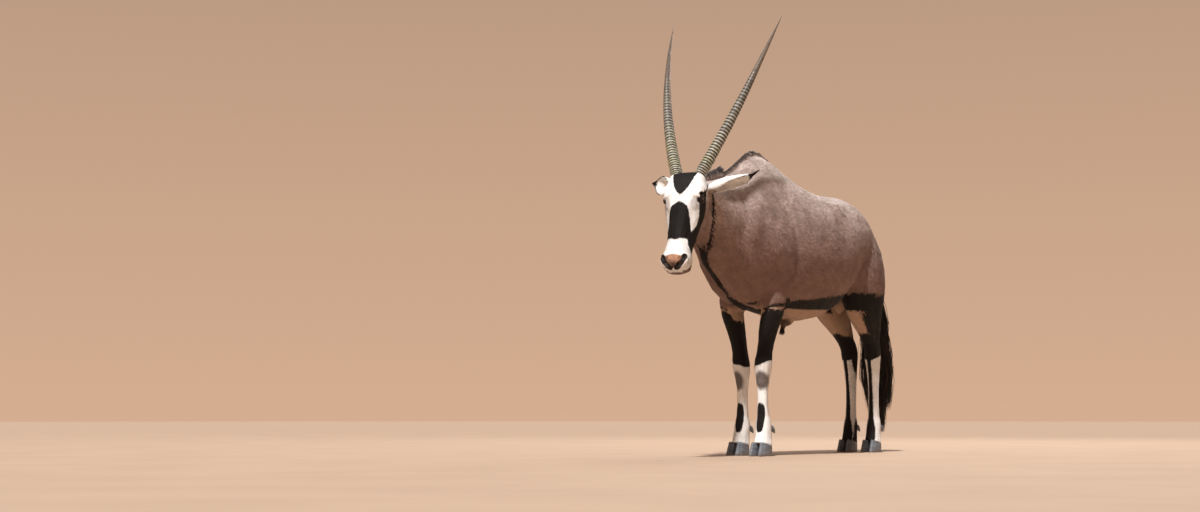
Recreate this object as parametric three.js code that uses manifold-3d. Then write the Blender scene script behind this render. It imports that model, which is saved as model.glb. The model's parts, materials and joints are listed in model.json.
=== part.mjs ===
// A gemsbok bull (Oryx gazella) standing at rest: a still, life-size animal with its head turned a little.
// Millimetres, +Z up. The animal faces -Y and its left side is +X. The origin is on the ground, under the
// middle of the animal's outline as seen from above. Along the body, Y is counted from the withers.
import * as THREE from "three";
import { mergeVertices } from "three/addons/utils/BufferGeometryUtils.js";
import Module from "manifold-3d";

const wasm = await Module();
wasm.setup();
const { Manifold, Mesh } = wasm;

// Driving dimensions of the animal
const WITHERS = 1205; // top of the hump over the shoulders
const CHEST_FLOOR = 572; // breastbone between the forelegs
const BELLY_FLOOR = 542; // lowest point of the belly
const CHEST_FRONT = -335; // foremost point of the chest, ahead of the withers
const HEAD_LENGTH = 390; // from between the horns to the lips
const HORN_LENGTH = 865; // along the curve
const HORN_RADIUS = 22.5; // at the base
const HORN_RINGS = 22;
const EAR_LENGTH = 202;
const EYE_RADIUS = 20;
const MANE_HEIGHT = 34; // hair above the crest
const GAP = 0.3; // clearance between pieces that touch

// Pose of the head: how far the nose points forward of plumb, and how far the head turns to the left
const HEAD_TILT = 22;
const HEAD_TURN = 11;
const POLL = new THREE.Vector3(26, -530, 1048); // point between the horns

// Where each leg stands: across from the middle, and along from the withers
const LEGS = {
  foreleg_left: { side: 1, across: 63, along: -48 },
  foreleg_right: { side: -1, across: 63, along: -8 },
  hindleg_left: { side: 1, across: 72, along: 890 },
  hindleg_right: { side: -1, across: 72, along: 948 },
};

const FORE_CUT = 552; // height at which a foreleg leaves the body
const HIND_CUT = 592;
const KNEE_CUT = 322;
const HOCK_CUT = 392;
const FETLOCK_CUT = 112;
const CORONET = { height: 47, slope: 14 }; // top edge of a hoof, higher at the toe

const { degToRad, lerp, clamp, smoothstep } = THREE.MathUtils;
const point = (x, y, z) => new THREE.Vector3(x, y, z);
const UP = point(0, 0, 1);

// A seeded source of numbers from 0 to 1, so that each build grows the same hair
function seeded(seed) {
  let state = seed >>> 0;
  return () => {
    state = (Math.imul(state, 1664525) + 1013904223) >>> 0;
    return state / 4294967296;
  };
}

// A smooth curve through [place, value] pairs, which can be read at any place between them
function track(...pairs) {
  const places = pairs.map(([place]) => place);
  const values = pairs.map(([, value]) => value);
  const curve = new THREE.CubicInterpolant(places, values, 1, []);
  return (place) => curve.evaluate(clamp(place, places[0], places.at(-1)))[0];
}

// Evenly spaced numbers from first to last
function steps(first, last, count) {
  return Array.from({ length: count }, (_, i) => lerp(first, last, i / (count - 1)));
}

// A ring of points round a centre, in the directions u and w. The reach each way is given, and the roundness:
// 2 for an ellipse, more for a squarer outline and less for a keeled one, on the plus and the minus side of w.
function ring({ centre, u, w, uPlus, uMinus, wPlus, wMinus, roundPlus = 2, roundMinus = 2, sides }) {
  const points = [];
  for (let i = 0; i < sides; i++) {
    const angle = (2 * Math.PI * i) / sides;
    const c = Math.cos(angle);
    const s = Math.sin(angle);
    const power = 2 / (s >= 0 ? roundPlus : roundMinus);
    const a = Math.sign(c) * Math.abs(c) ** power * (c >= 0 ? uPlus : uMinus);
    const b = Math.sign(s) * Math.abs(s) ** power * (s >= 0 ? wPlus : wMinus);
    points.push(centre.clone().addScaledVector(u, a).addScaledVector(w, b));
  }
  return points;
}

// A closed solid through rings of equal count, with a flat fan over each end
function loft(rings) {
  const count = rings[0].length;
  const points = rings.flat();
  const middle = (outline) => outline.reduce((sum, p) => sum.add(p), point()).divideScalar(outline.length);
  const first = points.push(middle(rings[0])) - 1;
  const last = points.push(middle(rings.at(-1))) - 1;
  const index = [];
  rings.slice(1).forEach((_, r) => {
    for (let i = 0; i < count; i++) {
      const a = r * count + i;
      const b = r * count + ((i + 1) % count);
      const c = a + count;
      const d = b + count;
      if (points[a].distanceTo(points[d]) < points[b].distanceTo(points[c])) index.push(a, b, d, a, d, c);
      else index.push(a, b, c, b, d, c);
    }
  });
  const end = (rings.length - 1) * count;
  for (let i = 0; i < count; i++) {
    const j = (i + 1) % count;
    index.push(first, j, i, last, end + i, end + j);
  }
  const geometry = new THREE.BufferGeometry().setFromPoints(points);
  geometry.setIndex(index);
  return solid(geometry);
}

// A geometry as a solid that can be joined and cut, with its faces turned outwards
function solid(geometry) {
  const bare = geometry.clone();
  bare.deleteAttribute("normal");
  bare.deleteAttribute("uv");
  const merged = mergeVertices(bare, 1e-4);
  const corners = Array.from(merged.index.array);
  const position = merged.attributes.position;
  let volume = 0;
  const [p, q, r] = [point(), point(), point()];
  for (let i = 0; i < corners.length; i += 3) {
    p.fromBufferAttribute(position, corners[i]);
    q.fromBufferAttribute(position, corners[i + 1]);
    r.fromBufferAttribute(position, corners[i + 2]);
    volume += p.dot(q.cross(r));
  }
  if (volume < 0) corners.reverse();
  return new Manifold(
    new Mesh({ numProp: 3, vertProperties: position.array, triVerts: new Uint32Array(corners) }),
  );
}

const join = (...pieces) => Manifold.union(pieces.flat());

// A stretched ball
function ball({ at, reach, across = 14, down = 9 }) {
  const geometry = new THREE.SphereGeometry(1, across, down);
  geometry.rotateX(Math.PI / 2);
  geometry.scale(reach.x, reach.y, reach.z);
  geometry.translate(at.x, at.y, at.z);
  return solid(geometry);
}

// A spindle of muscle from one point to another: wide along the skin, thick towards `facing`, fullest at `full`
function muscle({ from, to, wide, thick, facing, full = 0.5, sides = 12, count = 7, grow = 0 }) {
  const axis = to.clone().sub(from).normalize();
  const u = facing.clone().cross(axis).normalize();
  const w = axis.clone().cross(u).normalize();
  const bend = Math.log(0.5) / Math.log(full);
  const rings = steps(0.03, 0.97, count).map((t) => {
    const swell = Math.sin(Math.PI * t ** bend) ** 0.6;
    const a = wide * swell + grow;
    const b = thick * swell + grow;
    return ring({
      centre: from.clone().lerp(to, t), u, w, uPlus: a, uMinus: a, wPlus: b, wMinus: b, sides,
    });
  });
  return loft(rings);
}

// One flat, tapered lock of hair on a bending path. `flat` is the direction that its flat side faces.
function lock({ path, width, thick, flat, count = 4 }) {
  const curve = new THREE.CatmullRomCurve3(path);
  const rings = steps(0, 1, count).map((t) => {
    const axis = curve.getTangent(t);
    const u = flat.clone().cross(axis).normalize();
    const w = axis.clone().cross(u).normalize();
    const share = Math.max(1 - t ** 1.6, 0.06);
    const a = (width / 2) * share;
    const b = Math.max((thick / 2) * share, 0.4);
    return ring({ centre: curve.getPoint(t), u, w, uPlus: a, uMinus: a, wPlus: b, wMinus: b, sides: 4 });
  });
  return loft(rings);
}

// Outline of the trunk, as curves along Y
const TRUNK = {
  top: track([-335, 800], [-310, 925], [-250, 1040], [-160, 1135], [-60, 1193], [0, WITHERS], [70, 1198],
    [170, 1152], [290, 1108], [420, 1086], [540, 1087], [640, 1092], [730, 1076], [810, 1034], [870, 968],
    [905, 890]),
  bottom: track([-335, 770], [-310, 705], [-250, 640], [-160, 592], [-60, CHEST_FLOOR], [80, 560],
    [250, BELLY_FLOOR], [380, 552], [480, 582], [570, 634], [660, 700], [760, 742], [850, 800], [905, 850]),
  half: track([-335, 16], [-310, 64], [-250, 110], [-160, 145], [-60, 164], [60, 176], [180, 198], [300, 214],
    [420, 216], [520, 200], [620, 180], [720, 164], [810, 132], [870, 88], [905, 30]),
  widest: track([-335, 785], [-250, 800], [-60, 800], [180, 790], [420, 800], [620, 870], [780, 900],
    [905, 870]),
  roundTop: track([-335, 2], [-160, 1.7], [0, 1.45], [170, 1.65], [420, 2.05], [620, 2.1], [780, 1.9],
    [905, 2]),
  roundBottom: track([-335, 2], [-100, 2.1], [250, 2.2], [520, 2.1], [905, 2]),
};

function trunk(grow = 0) {
  const places = [CHEST_FRONT, CHEST_FRONT + 12, CHEST_FRONT + 35, ...steps(-260, 840, 19), 870, 892, 905];
  return loft(places.map((y) => {
    const widest = TRUNK.widest(y);
    const half = TRUNK.half(y) + grow;
    return ring({
      centre: point(0, y, widest), u: point(1, 0, 0), w: UP, uPlus: half, uMinus: half,
      wPlus: TRUNK.top(y) - widest + grow, wMinus: widest - TRUNK.bottom(y) + grow,
      roundPlus: TRUNK.roundTop(y), roundMinus: TRUNK.roundBottom(y), sides: 20,
    });
  }));
}

// Shoulder blade, upper arm and the muscles round them, on one side
function shoulder(side) {
  const shape = { facing: point(side, 0, 0), sides: 10, count: 6 };
  const at = (x, y, z) => point(side * x, y, z);
  return join(
    muscle({ ...shape, from: at(44, 40, 1145), to: at(100, -215, 790), wide: 92, thick: 44, full: 0.55 }),
    muscle({ ...shape, from: at(98, 105, 985), to: at(98, -30, 590), wide: 84, thick: 56, full: 0.6 }),
    muscle({ ...shape, from: at(70, -262, 850), to: at(104, -20, 640), wide: 74, thick: 50 }),
    muscle({ ...shape, from: at(36, -262, 800), to: at(54, -70, 590), wide: 60, thick: 50, sides: 8 }),
  );
}

// Hip, buttock and stifle, on one side
function haunch(side, grow = 0) {
  const shape = { facing: point(side, 0, 0.2).normalize(), sides: 10, grow };
  const at = (x, y, z) => point(side * x, y, z);
  return join(
    muscle({ ...shape, from: at(66, 520, 1010), to: at(88, 815, 905), wide: 76, thick: 58, full: 0.42 }),
    muscle({ ...shape, from: at(98, 590, 1000), to: at(112, 722, 600), wide: 70, thick: 56, full: 0.55 }),
    muscle({ ...shape, from: at(58, 800, 985), to: at(84, 838, 640), wide: 76, thick: 56, full: 0.5 }),
  );
}

// The crest and throat of the neck, from its base in the trunk to the head
const CREST = new THREE.CatmullRomCurve3([
  point(0, 70, 1197), point(0, -40, 1186), point(1, -135, 1142), point(4, -250, 1086), point(12, -390, 1052),
  point(24, -500, 1036),
]);
const THROAT = new THREE.CatmullRomCurve3([
  point(0, -120, 636), point(0, -250, 664), point(1, -345, 722), point(5, -398, 788), point(12, -428, 845),
  point(20, -446, 892),
]);
const NECK = {
  half: track([0, 138], [0.2, 138], [0.4, 121], [0.6, 98], [0.8, 80], [1, 68]),
  roundTop: track([0, 1.5], [0.5, 1.6], [1, 1.9]),
  widest: track([0, -0.1], [0.5, -0.06], [1, 0]),
};

function neck(grow = 0) {
  return loft(steps(0, 1, 11).map((t) => {
    const crest = CREST.getPoint(t);
    const throat = THROAT.getPoint(t);
    const up = crest.clone().sub(throat);
    const height = up.length();
    up.normalize();
    const forward = CREST.getTangent(t).add(THROAT.getTangent(t)).normalize();
    const u = up.clone().cross(forward).normalize();
    const middle = height * (0.5 + NECK.widest(t));
    const half = NECK.half(t) + grow;
    return ring({
      centre: throat.clone().addScaledVector(up, middle), u, w: up, uPlus: half, uMinus: half,
      wPlus: height - middle + grow, wMinus: middle + grow, roundPlus: NECK.roundTop(t), roundMinus: 1.9,
      sides: 20,
    });
  }));
}

// The head is made hanging straight down from the poll, facing -Y, and then posed
const HEAD_POSE = new THREE.Matrix4()
  .makeTranslation(POLL.x, POLL.y, POLL.z)
  .multiply(new THREE.Matrix4().makeRotationZ(degToRad(HEAD_TURN)))
  .multiply(new THREE.Matrix4().makeRotationX(degToRad(-HEAD_TILT)));
const posed = (body) => body.transform(HEAD_POSE.elements);

const SKULL = {
  face: track([-392, -14], [-380, -31], [-362, -41], [-340, -45], [-300, -44], [-250, -46], [-200, -50],
    [-150, -56], [-100, -61], [-60, -60], [-30, -53], [0, -36], [18, 4]),
  jaw: track([-392, 26], [-380, 42], [-355, 52], [-320, 60], [-280, 72], [-230, 93], [-180, 120], [-140, 138],
    [-100, 142], [-50, 128], [-10, 104], [18, 66]),
  half: track([-392, 26], [-380, 41], [-362, 49], [-338, 52], [-310, 49], [-270, 50], [-220, 57], [-170, 66],
    [-125, 75], [-90, 79], [-50, 77], [-20, 68], [4, 54], [18, 30]),
  widest: track([-392, 8], [-340, 6], [-270, 16], [-200, 12], [-100, 0], [0, 10], [18, 30]),
  roundFace: track([-392, 2.2], [-340, 2.6], [-270, 2.1], [-180, 2.2], [-100, 2.7], [-40, 2.7], [18, 2.2]),
  roundJaw: track([-392, 2.1], [-340, 2.2], [-270, 1.9], [-180, 1.7], [-100, 1.7], [18, 2]),
};
const EYE = { across: 61, out: -20, down: -104 };

function skull(grow) {
  const heights = [-HEAD_LENGTH, -388, -380, ...steps(-366, -6, 16), 8, 18];
  return loft(heights.map((z) => {
    const widest = SKULL.widest(z);
    const half = SKULL.half(z) + grow;
    return ring({
      centre: point(0, widest, z + (z > 0 ? grow : 0)), u: point(1, 0, 0), w: point(0, 1, 0), uPlus: half,
      uMinus: half, wPlus: SKULL.jaw(z) - widest + grow, wMinus: widest - SKULL.face(z) + grow,
      roundPlus: SKULL.roundJaw(z), roundMinus: SKULL.roundFace(z), sides: 20,
    });
  }));
}

// Brow, cheek, nostril wing and lip on one side of the head
function cheek(side, grow) {
  const at = (x, y, z) => point(side * x, y, z);
  const reach = (x, y, z) => point(x + grow, y + grow, z + grow);
  return join(
    ball({ at: at(54, -30, -90), reach: reach(28, 28, 40), across: 10, down: 6 }),
    ball({ at: at(EYE.across, EYE.out, EYE.down), reach: reach(24.5, 26, 24), across: 12, down: 8 }),
    ball({ at: at(42, 66, -128), reach: reach(28, 60, 62), across: 10, down: 6 }),
    ball({ at: at(29, -21, -350), reach: reach(22, 20, 23), across: 10, down: 6 }),
    ball({ at: at(26, 22, -362), reach: reach(26, 22, 22), across: 10, down: 6 }),
    ball({ at: at(43, -12, -26), reach: reach(31, 34, 26), across: 10, down: 6 }),
  );
}

// A nostril: a comma-shaped opening that runs up and outwards
function nostril(side) {
  return muscle({
    from: point(side * 10, -46, -377), to: point(side * 43, -36, -340), wide: 9, thick: 8,
    facing: point(side * 0.35, -1, -0.1).normalize(), full: 0.42, sides: 8, count: 5,
  });
}

// The line of the mouth, from one corner round the lips to the other
function mouthLine() {
  const half = [point(0, -30, -391), point(24, -8, -391), point(44, 18, -378), point(56, 33, -350),
    point(60, 40, -316)];
  const right = half.slice(1).reverse().map((p) => point(-p.x, p.y, p.z));
  const curve = new THREE.CatmullRomCurve3([...right, ...half]);
  const middle = point(0, 18, -345);
  const rings = steps(0, 1, 13).map((t) => {
    const centre = curve.getPoint(t);
    const axis = curve.getTangent(t);
    const inward = middle.clone().sub(centre).normalize();
    const w = axis.clone().cross(inward).normalize();
    const u = w.clone().cross(axis).normalize();
    return ring({ centre, u, w, uPlus: 16, uMinus: 16, wPlus: 1.6, wMinus: 1.6, sides: 4 });
  });
  return loft(rings);
}

// The almond-shaped slit between the lids
function lidOpening(side) {
  const out = point(side * 0.93, -0.36, 0.06).normalize();
  const centre = point(side * EYE.across, EYE.out, EYE.down);
  const slope = point(0, 0.42, -0.12);
  const rings = [4, 14, 30].map((far, i) => {
    const u = slope.clone().sub(out.clone().multiplyScalar(slope.dot(out))).normalize();
    const w = out.clone().cross(u).normalize();
    const open = 1 + 0.16 * i;
    return ring({
      centre: centre.clone().addScaledVector(out, far), u, w, uPlus: 18 * open, uMinus: 19 * open,
      wPlus: 12 * open, wMinus: 11.5 * open, roundPlus: 1.6, roundMinus: 1.6, sides: 12,
    });
  });
  return loft(rings);
}

function head(grow = 0) {
  const flesh = join(skull(grow), cheek(1, grow), cheek(-1, grow));
  if (grow) return posed(flesh);
  const cuts = [1, -1].flatMap((side) => [nostril(side), lidOpening(side), eyeball(side, GAP)]);
  return posed(Manifold.difference([flesh, ...cuts, mouthLine()]));
}

function eyeball(side, grow = 0) {
  const r = EYE_RADIUS + grow;
  return ball({ at: point(side * EYE.across, EYE.out, EYE.down), reach: point(r, r, r), across: 12, down: 8 });
}

// A horn in the head's own frame: ringed over its lower part, smooth and sharp above
const HORN = {
  back: track([0, 3], [0.25, 7], [0.6, 11.5], [1, 18]),
  spread: track([0, 21], [0.3, 16], [0.6, 11], [1, 6.5]),
  ringed: 0.6,
};

function hornPath(side) {
  const count = 60;
  const path = [point(side * 34, -10, -32)];
  for (let i = 1; i <= count; i++) {
    const share = i / count;
    const back = degToRad(HORN.back(share));
    const spread = degToRad(HORN.spread(share));
    const step = point(side * Math.tan(spread), Math.sin(back), Math.cos(back)).normalize();
    path.push(path.at(-1).clone().addScaledVector(step, HORN_LENGTH / count));
  }
  return new THREE.CatmullRomCurve3(path);
}

function horn(side) {
  const curve = hornPath(side);
  const plain = (s) => HORN_RADIUS * (1 - s ** 1.35) ** 0.9;
  const rows = [[0, 0]];
  for (let k = 0; k < HORN_RINGS; k++) {
    const pitch = HORN.ringed / HORN_RINGS;
    const s = 0.035 + k * pitch;
    const swell = lerp(2.4, 0.8, k / HORN_RINGS);
    rows.push([s, -0.5 * swell], [s + 0.55 * pitch, swell]);
  }
  steps(HORN.ringed + 0.06, 0.985, 7).forEach((s) => rows.push([s, 0]));
  const rings = rows.map(([s, swell]) => {
    const axis = curve.getTangentAt(s);
    const u = point(0, 1, 0).cross(axis).normalize();
    const w = axis.clone().cross(u).normalize();
    const r = plain(s) + swell;
    return ring({ centre: curve.getPointAt(s), u, w, uPlus: r * 0.95, uMinus: r * 0.95, wPlus: r * 1.06,
      wMinus: r * 1.06, sides: 9 });
  });
  const tip = curve.getPointAt(1);
  rings.push(rings.at(-1).map((p) => p.clone().lerp(tip, 0.8)));
  return clearOfHead(posed(loft(rings)));
}

// Leaves a gap round the head and the front of the neck
const clearOfHead = (body) => Manifold.difference([body, head(GAP), neck(GAP)]);

// An ear: a leaf-shaped cup on a short stalk, with its opening towards `open`
const EAR = {
  half: track([0, 17], [0.15, 24], [0.4, 34], [0.62, 32], [0.82, 20], [1, 2.5]),
  depth: track([0, 17], [0.15, 24], [0.4, 23], [0.62, 17], [0.82, 10], [1, 2.5]),
  wrap: track([0, 150], [0.2, 128], [0.5, 98], [1, 80]),
  thick: track([0, 7], [0.3, 6], [1, 3.2]),
};

function ear({ side, root, along, open }) {
  const across = along.clone().cross(open).normalize();
  const facing = across.clone().cross(along).normalize();
  const arc = 9;
  const rings = steps(0, 1, 8).map((t) => {
    const droop = -12 * t * t;
    const centre = root.clone().addScaledVector(along, EAR_LENGTH * t).addScaledVector(UP, droop);
    const wrap = degToRad(EAR.wrap(t));
    const bent = (inset, i) => {
      const angle = lerp(-wrap, wrap, i / (arc - 1));
      return centre.clone()
        .addScaledVector(across, Math.sin(angle) * (EAR.half(t) - inset))
        .addScaledVector(facing, -Math.cos(angle) * (EAR.depth(t) - inset));
    };
    const skin = Array.from({ length: arc }, (_, i) => bent(0, i));
    const cup = Array.from({ length: arc }, (_, i) => bent(Math.min(EAR.thick(t), EAR.depth(t) * 0.9), i));
    return [...skin, ...cup.reverse()];
  });
  const plug = ball({
    at: root.clone().addScaledVector(along, 10), reach: point(19, 19, 26), across: 10, down: 7,
  });
  return clearOfHead(join(loft(rings), plug)).subtract(hornStump(side));
}

const hornStump = (side) => {
  const from = hornPath(side).getPointAt(0);
  const to = hornPath(side).getPointAt(0.09);
  return posed(muscle({ from: from.lerp(to, -0.5), to: to.lerp(from, -0.5), wide: HORN_RADIUS + 6,
    thick: HORN_RADIUS + 6, facing: point(0, 1, 0), sides: 10 }));
};

const inHead = (x, y, z) => point(x, y, z).applyMatrix4(HEAD_POSE);

function ears() {
  return {
    ear_left: ear({
      side: 1, root: inHead(68, 40, -36), along: point(0.83, 0.46, 0.32).normalize(),
      open: point(0.32, -0.2, -0.92).normalize(),
    }),
    ear_right: ear({
      side: -1, root: inHead(-66, 40, -36), along: point(-0.82, 0.46, 0.34).normalize(),
      open: point(-0.46, -0.87, 0.17).normalize(),
    }),
  };
}

// Legs, as outlines by height: how far they reach from the leg's own line, to the front, back, inside and outside
const FORELEG = {
  front: track([44, 55], [70, 46], [92, 37], [128, 30], [160, 24], [220, 22], [290, 26], [330, 37], [365, 41],
    [405, 35], [450, 38], [520, 50], [600, 62], [690, 60]),
  back: track([44, 18], [70, 22], [92, 28], [128, 35], [160, 28], [220, 24], [290, 27], [330, 33], [365, 29],
    [405, 29], [450, 33], [520, 43], [600, 56], [690, 60]),
  inner: track([44, 34], [70, 33], [92, 32], [128, 30], [160, 24], [220, 22], [290, 25], [330, 33], [365, 36],
    [405, 32], [450, 32], [520, 38], [600, 46], [690, 40]),
  outer: track([44, 34], [70, 33], [92, 32], [128, 30], [160, 24], [220, 22], [290, 25], [330, 33], [365, 36],
    [405, 32], [450, 33], [520, 40], [600, 46], [690, 30]),
  line: { across: track([0, 0], [365, -4], [460, 8], [560, 30], [690, 42]), swing: 720 },
  forward: () => 0,
  heights: [30, 56, 78, 98, 116, 132, 155, 200, 260, 302, 330, 352, 376, 404, 440, 490, 550, 610, 655, 690],
};
const HINDLEG = {
  front: track([44, 54], [70, 45], [92, 37], [128, 29], [160, 24], [220, 23], [300, 25], [360, 30], [400, 38],
    [435, 44], [465, 60], [500, 96], [545, 160], [590, 218], [640, 256], [700, 268], [780, 262], [860, 240],
    [940, 204], [990, 170]),
  back: track([44, 18], [70, 22], [92, 28], [128, 35], [160, 29], [220, 27], [300, 29], [360, 37], [400, 52],
    [440, 66], [465, 62], [500, 42], [545, 24], [590, 18], [640, 22], [700, 30], [780, 34], [860, 18],
    [940, -24], [990, -80]),
  inner: track([44, 33], [70, 32], [92, 32], [128, 30], [160, 24], [220, 22], [300, 23], [360, 28], [420, 33],
    [465, 31], [520, 34], [590, 42], [680, 50], [780, 54], [990, 30]),
  outer: track([44, 33], [70, 32], [92, 32], [128, 30], [160, 24], [220, 22], [300, 23], [360, 28], [420, 31],
    [465, 31], [520, 46], [590, 74], [680, 100], [780, 104], [860, 92], [940, 64], [990, 34]),
  line: { across: track([0, 0], [430, -4], [700, 2], [1000, 0]), swing: 900 },
  forward: track([0, 0], [500, 6], [590, 70], [700, 120], [1000, 130]),
  heights: [30, 56, 78, 98, 116, 132, 155, 210, 280, 340, 376, 405, 430, 450, 472, 498, 530, 566, 604, 650,
    710, 780, 860, 930, 985],
};

// Where a leg's line stands at a height. It swings from its root, so a foot set forward leans the whole leg.
function legLine(shape, stand, height) {
  const home = shape === FORELEG ? -20 : 880;
  const swung = smoothstep(shape.line.swing - height, 0, shape.line.swing * 0.75);
  return point(
    stand.side * (stand.across + shape.line.across(height)),
    lerp(home, stand.along, swung),
    height,
  );
}

function leg(shape, stand, grow = 0) {
  const u = point(stand.side, 0, 0);
  const w = point(0, 1, 0);
  return loft(shape.heights.map((height) => {
    const forward = shape.forward(height);
    return ring({
      centre: legLine(shape, stand, height).addScaledVector(w, -forward), u, w,
      uPlus: shape.outer(height) + grow, uMinus: shape.inner(height) + grow,
      wPlus: shape.back(height) + forward + grow, wMinus: shape.front(height) - forward + grow,
      roundPlus: 2.1, roundMinus: 2.1, sides: 12,
    });
  }));
}

// The sloping top edge of a foot's hooves: points above it belong to the pastern
const coronetNormal = point(0, CORONET.slope, 60).normalize();
const coronetAt = (stand, offset) => {
  const middle = point(0, stand.along - 25, CORONET.height);
  return middle.dot(coronetNormal) + offset;
};

// One of a foot's two hooves. `lean` is 1 for the outer one and -1 for the inner one.
function hoof(stand, lean) {
  const line = legLine(stand.shape, stand, 0);
  const u = point(stand.side * lean, 0, 0);
  const w = point(0, 1, 0);
  const rows = [[0, 82, 12, 35], [6, 82, 13, 36], [28, 72, 16, 35], [66, 54, 18, 32]];
  const rings = rows.map(([height, toe, heel, wide]) => ring({
    centre: point(line.x + stand.side * lean * (wide / 2 + 2.5), line.y - 26, height), u, w,
    uPlus: wide / 2, uMinus: wide / 2 - 0.5, wPlus: heel + 26, wMinus: toe - 26,
    roundPlus: 2.4, roundMinus: 1.75, sides: 10,
  }));
  return loft(rings).trimByPlane(coronetNormal.clone().negate().toArray(), -coronetAt(stand, -GAP / 2));
}

// A dewclaw: a small blunt horn behind the fetlock
function dewclaw(stand, lean) {
  const root = legLine(stand.shape, stand, 112);
  const from = root.clone().add(point(stand.side * lean * 15, 22, 10));
  const to = root.clone().add(point(stand.side * lean * 21, 52, -24));
  const facing = point(1, 0, 0);
  const claw = muscle({ from, to, wide: 11, thick: 10, facing, full: 0.42, sides: 6, count: 4 });
  return claw.subtract(leg(stand.shape, stand, GAP));
}

// The tail: a dock that hangs behind the thighs and a long tassel on its lower half
const DOCK = new THREE.CatmullRomCurve3([
  point(0, 815, 985), point(0, 880, 972), point(1, 930, 908), point(3, 958, 820), point(6, 982, 720),
  point(10, 1012, 610), point(15, 1034, 520),
]);
const DOCK_RADIUS = track([0, 30], [0.3, 23], [0.6, 17], [1, 9]);
const TASSEL_START = 0.52;
const TAIL_END = 75; // height of the lowest hair

function dock() {
  return loft(steps(0, 1, 12).map((t) => {
    const axis = DOCK.getTangentAt(t);
    const u = point(1, 0, 0);
    const w = axis.clone().cross(u).normalize();
    const r = DOCK_RADIUS(t);
    const flat = r * 0.8;
    return ring({
      centre: DOCK.getPointAt(t), u, w, uPlus: r, uMinus: r, wPlus: flat, wMinus: flat, sides: 8,
    });
  }));
}

// The hair of the tassel: a slim core, and tiers of locks that leave it one below the other and overlap. Each
// tier has its count, the place of its roots along the dock, how far its locks stand out, and how low they end.
const TIERS = [
  { count: 5, root: 0.66, out: 62, end: 350 },
  { count: 5, root: 0.8, out: 84, end: 200 },
  { count: 4, root: 0.95, out: 62, end: TAIL_END },
];
const TASSEL_AXIS = point(22, 1054, 0); // where the middle of the tassel hangs
const TASSEL_DEPTH = 0.7; // the tassel is flatter from front to back

function tasselCore() {
  const rows = [[point(12, 1022, 570), 22], [point(18, 1046, 430), 34], [point(22, 1054, 280), 34],
    [point(22, 1054, 140), 8]];
  const rings = [[DOCK.getPointAt(0.55), 15], ...rows];
  return loft(rings.map(([centre, r]) => ring({
    centre, u: point(1, 0, 0), w: point(0, 1, 0), uPlus: r, uMinus: r, wPlus: r * TASSEL_DEPTH,
    wMinus: r * TASSEL_DEPTH, sides: 6,
  })));
}

function tasselLocks() {
  const random = seeded(7);
  return TIERS.flatMap(({ count, root, out, end }, tier) => Array.from({ length: count }, (_, i) => {
    const turn = (2 * Math.PI * (i + 0.5 * (tier % 2) + 0.3 * random())) / count;
    const away = point(Math.cos(turn), Math.sin(turn) * TASSEL_DEPTH, 0);
    const start = DOCK.getPointAt(root);
    const bottom = end + 40 * random();
    const spread = out * (0.9 + 0.2 * random());
    const along = (share, reach) => start.clone().lerp(TASSEL_AXIS, share ** 0.7)
      .setZ(lerp(start.z, bottom, share)).addScaledVector(away, reach * spread);
    const path = [start, along(0.22, 0.6), along(0.55, 1), along(1, 0.55 + 0.35 * random())];
    return lock({ path, width: 70, thick: 16, flat: away, count: 5 });
  }));
}

// The short upright mane, as locks in two staggered rows along the crest, from the poll to behind the withers
function maneLocks(first, last, count) {
  const random = seeded(11 + count);
  return Array.from({ length: count }, (_, i) => {
    const row = i % 2 ? 1 : -1;
    const place = lerp(first, last, (i + 0.5) / count);
    const root = CREST.getPoint(place).add(point(row * 4, 0, -14));
    const height = MANE_HEIGHT * lerp(0.3, 1, smoothstep(place, 0, 0.3)) * (0.86 + 0.3 * random());
    const tip = root.clone().add(point(row * (2 + 4 * random()), 20 + 10 * random(), height + 12));
    const middle = root.clone().lerp(tip, 0.55).add(point(0, -5, 3));
    return lock({ path: [root, middle, tip], width: 44, thick: 12, flat: point(1, 0, 0.05), count: 3 });
  });
}

// Sheath with its tuft, and scrotum
function underBelly() {
  return join(
    muscle({ from: point(0, 330, 566), to: point(0, 205, 528), wide: 26, thick: 22, facing: UP, full: 0.6 }),
    muscle({ from: point(0, 240, 545), to: point(0, 206, 492), wide: 13, thick: 13, facing: UP, full: 0.35,
      sides: 8 }),
    ball({ at: point(0, 722, 655), reach: point(32, 36, 62), across: 12, down: 8 }),
  );
}

// Cutting planes, each as a normal and its distance, with half a gap kept clear on either side
const plane = (normal, through) => ({ normal, reach: normal.dot(through) });
const NECK_BASE = plane(point(0, -0.8545, 0.5194), point(0, -40, 1210));
const HEAD_BACK = plane(point(0, -0.846, -0.533).transformDirection(HEAD_POSE), inHead(0, 84, 15));
const GIRTH = plane(point(0, 1, 0), point(0, 150, 0));
const TAIL_ROOT = plane(point(0, 0.86, -0.5).normalize(), DOCK.getPointAt(0.13));
const TASSEL_ROOT = plane(DOCK.getTangentAt(TASSEL_START), DOCK.getPointAt(TASSEL_START));

const beyond = (body, { normal, reach }) => body.trimByPlane(normal.toArray(), reach + GAP / 2);
const before = (body, { normal, reach }) =>
  body.trimByPlane(normal.clone().negate().toArray(), GAP / 2 - reach);
const above = (body, height) => body.trimByPlane([0, 0, 1], height + GAP / 2);
const below = (body, height) => body.trimByPlane([0, 0, -1], GAP / 2 - height);

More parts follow.
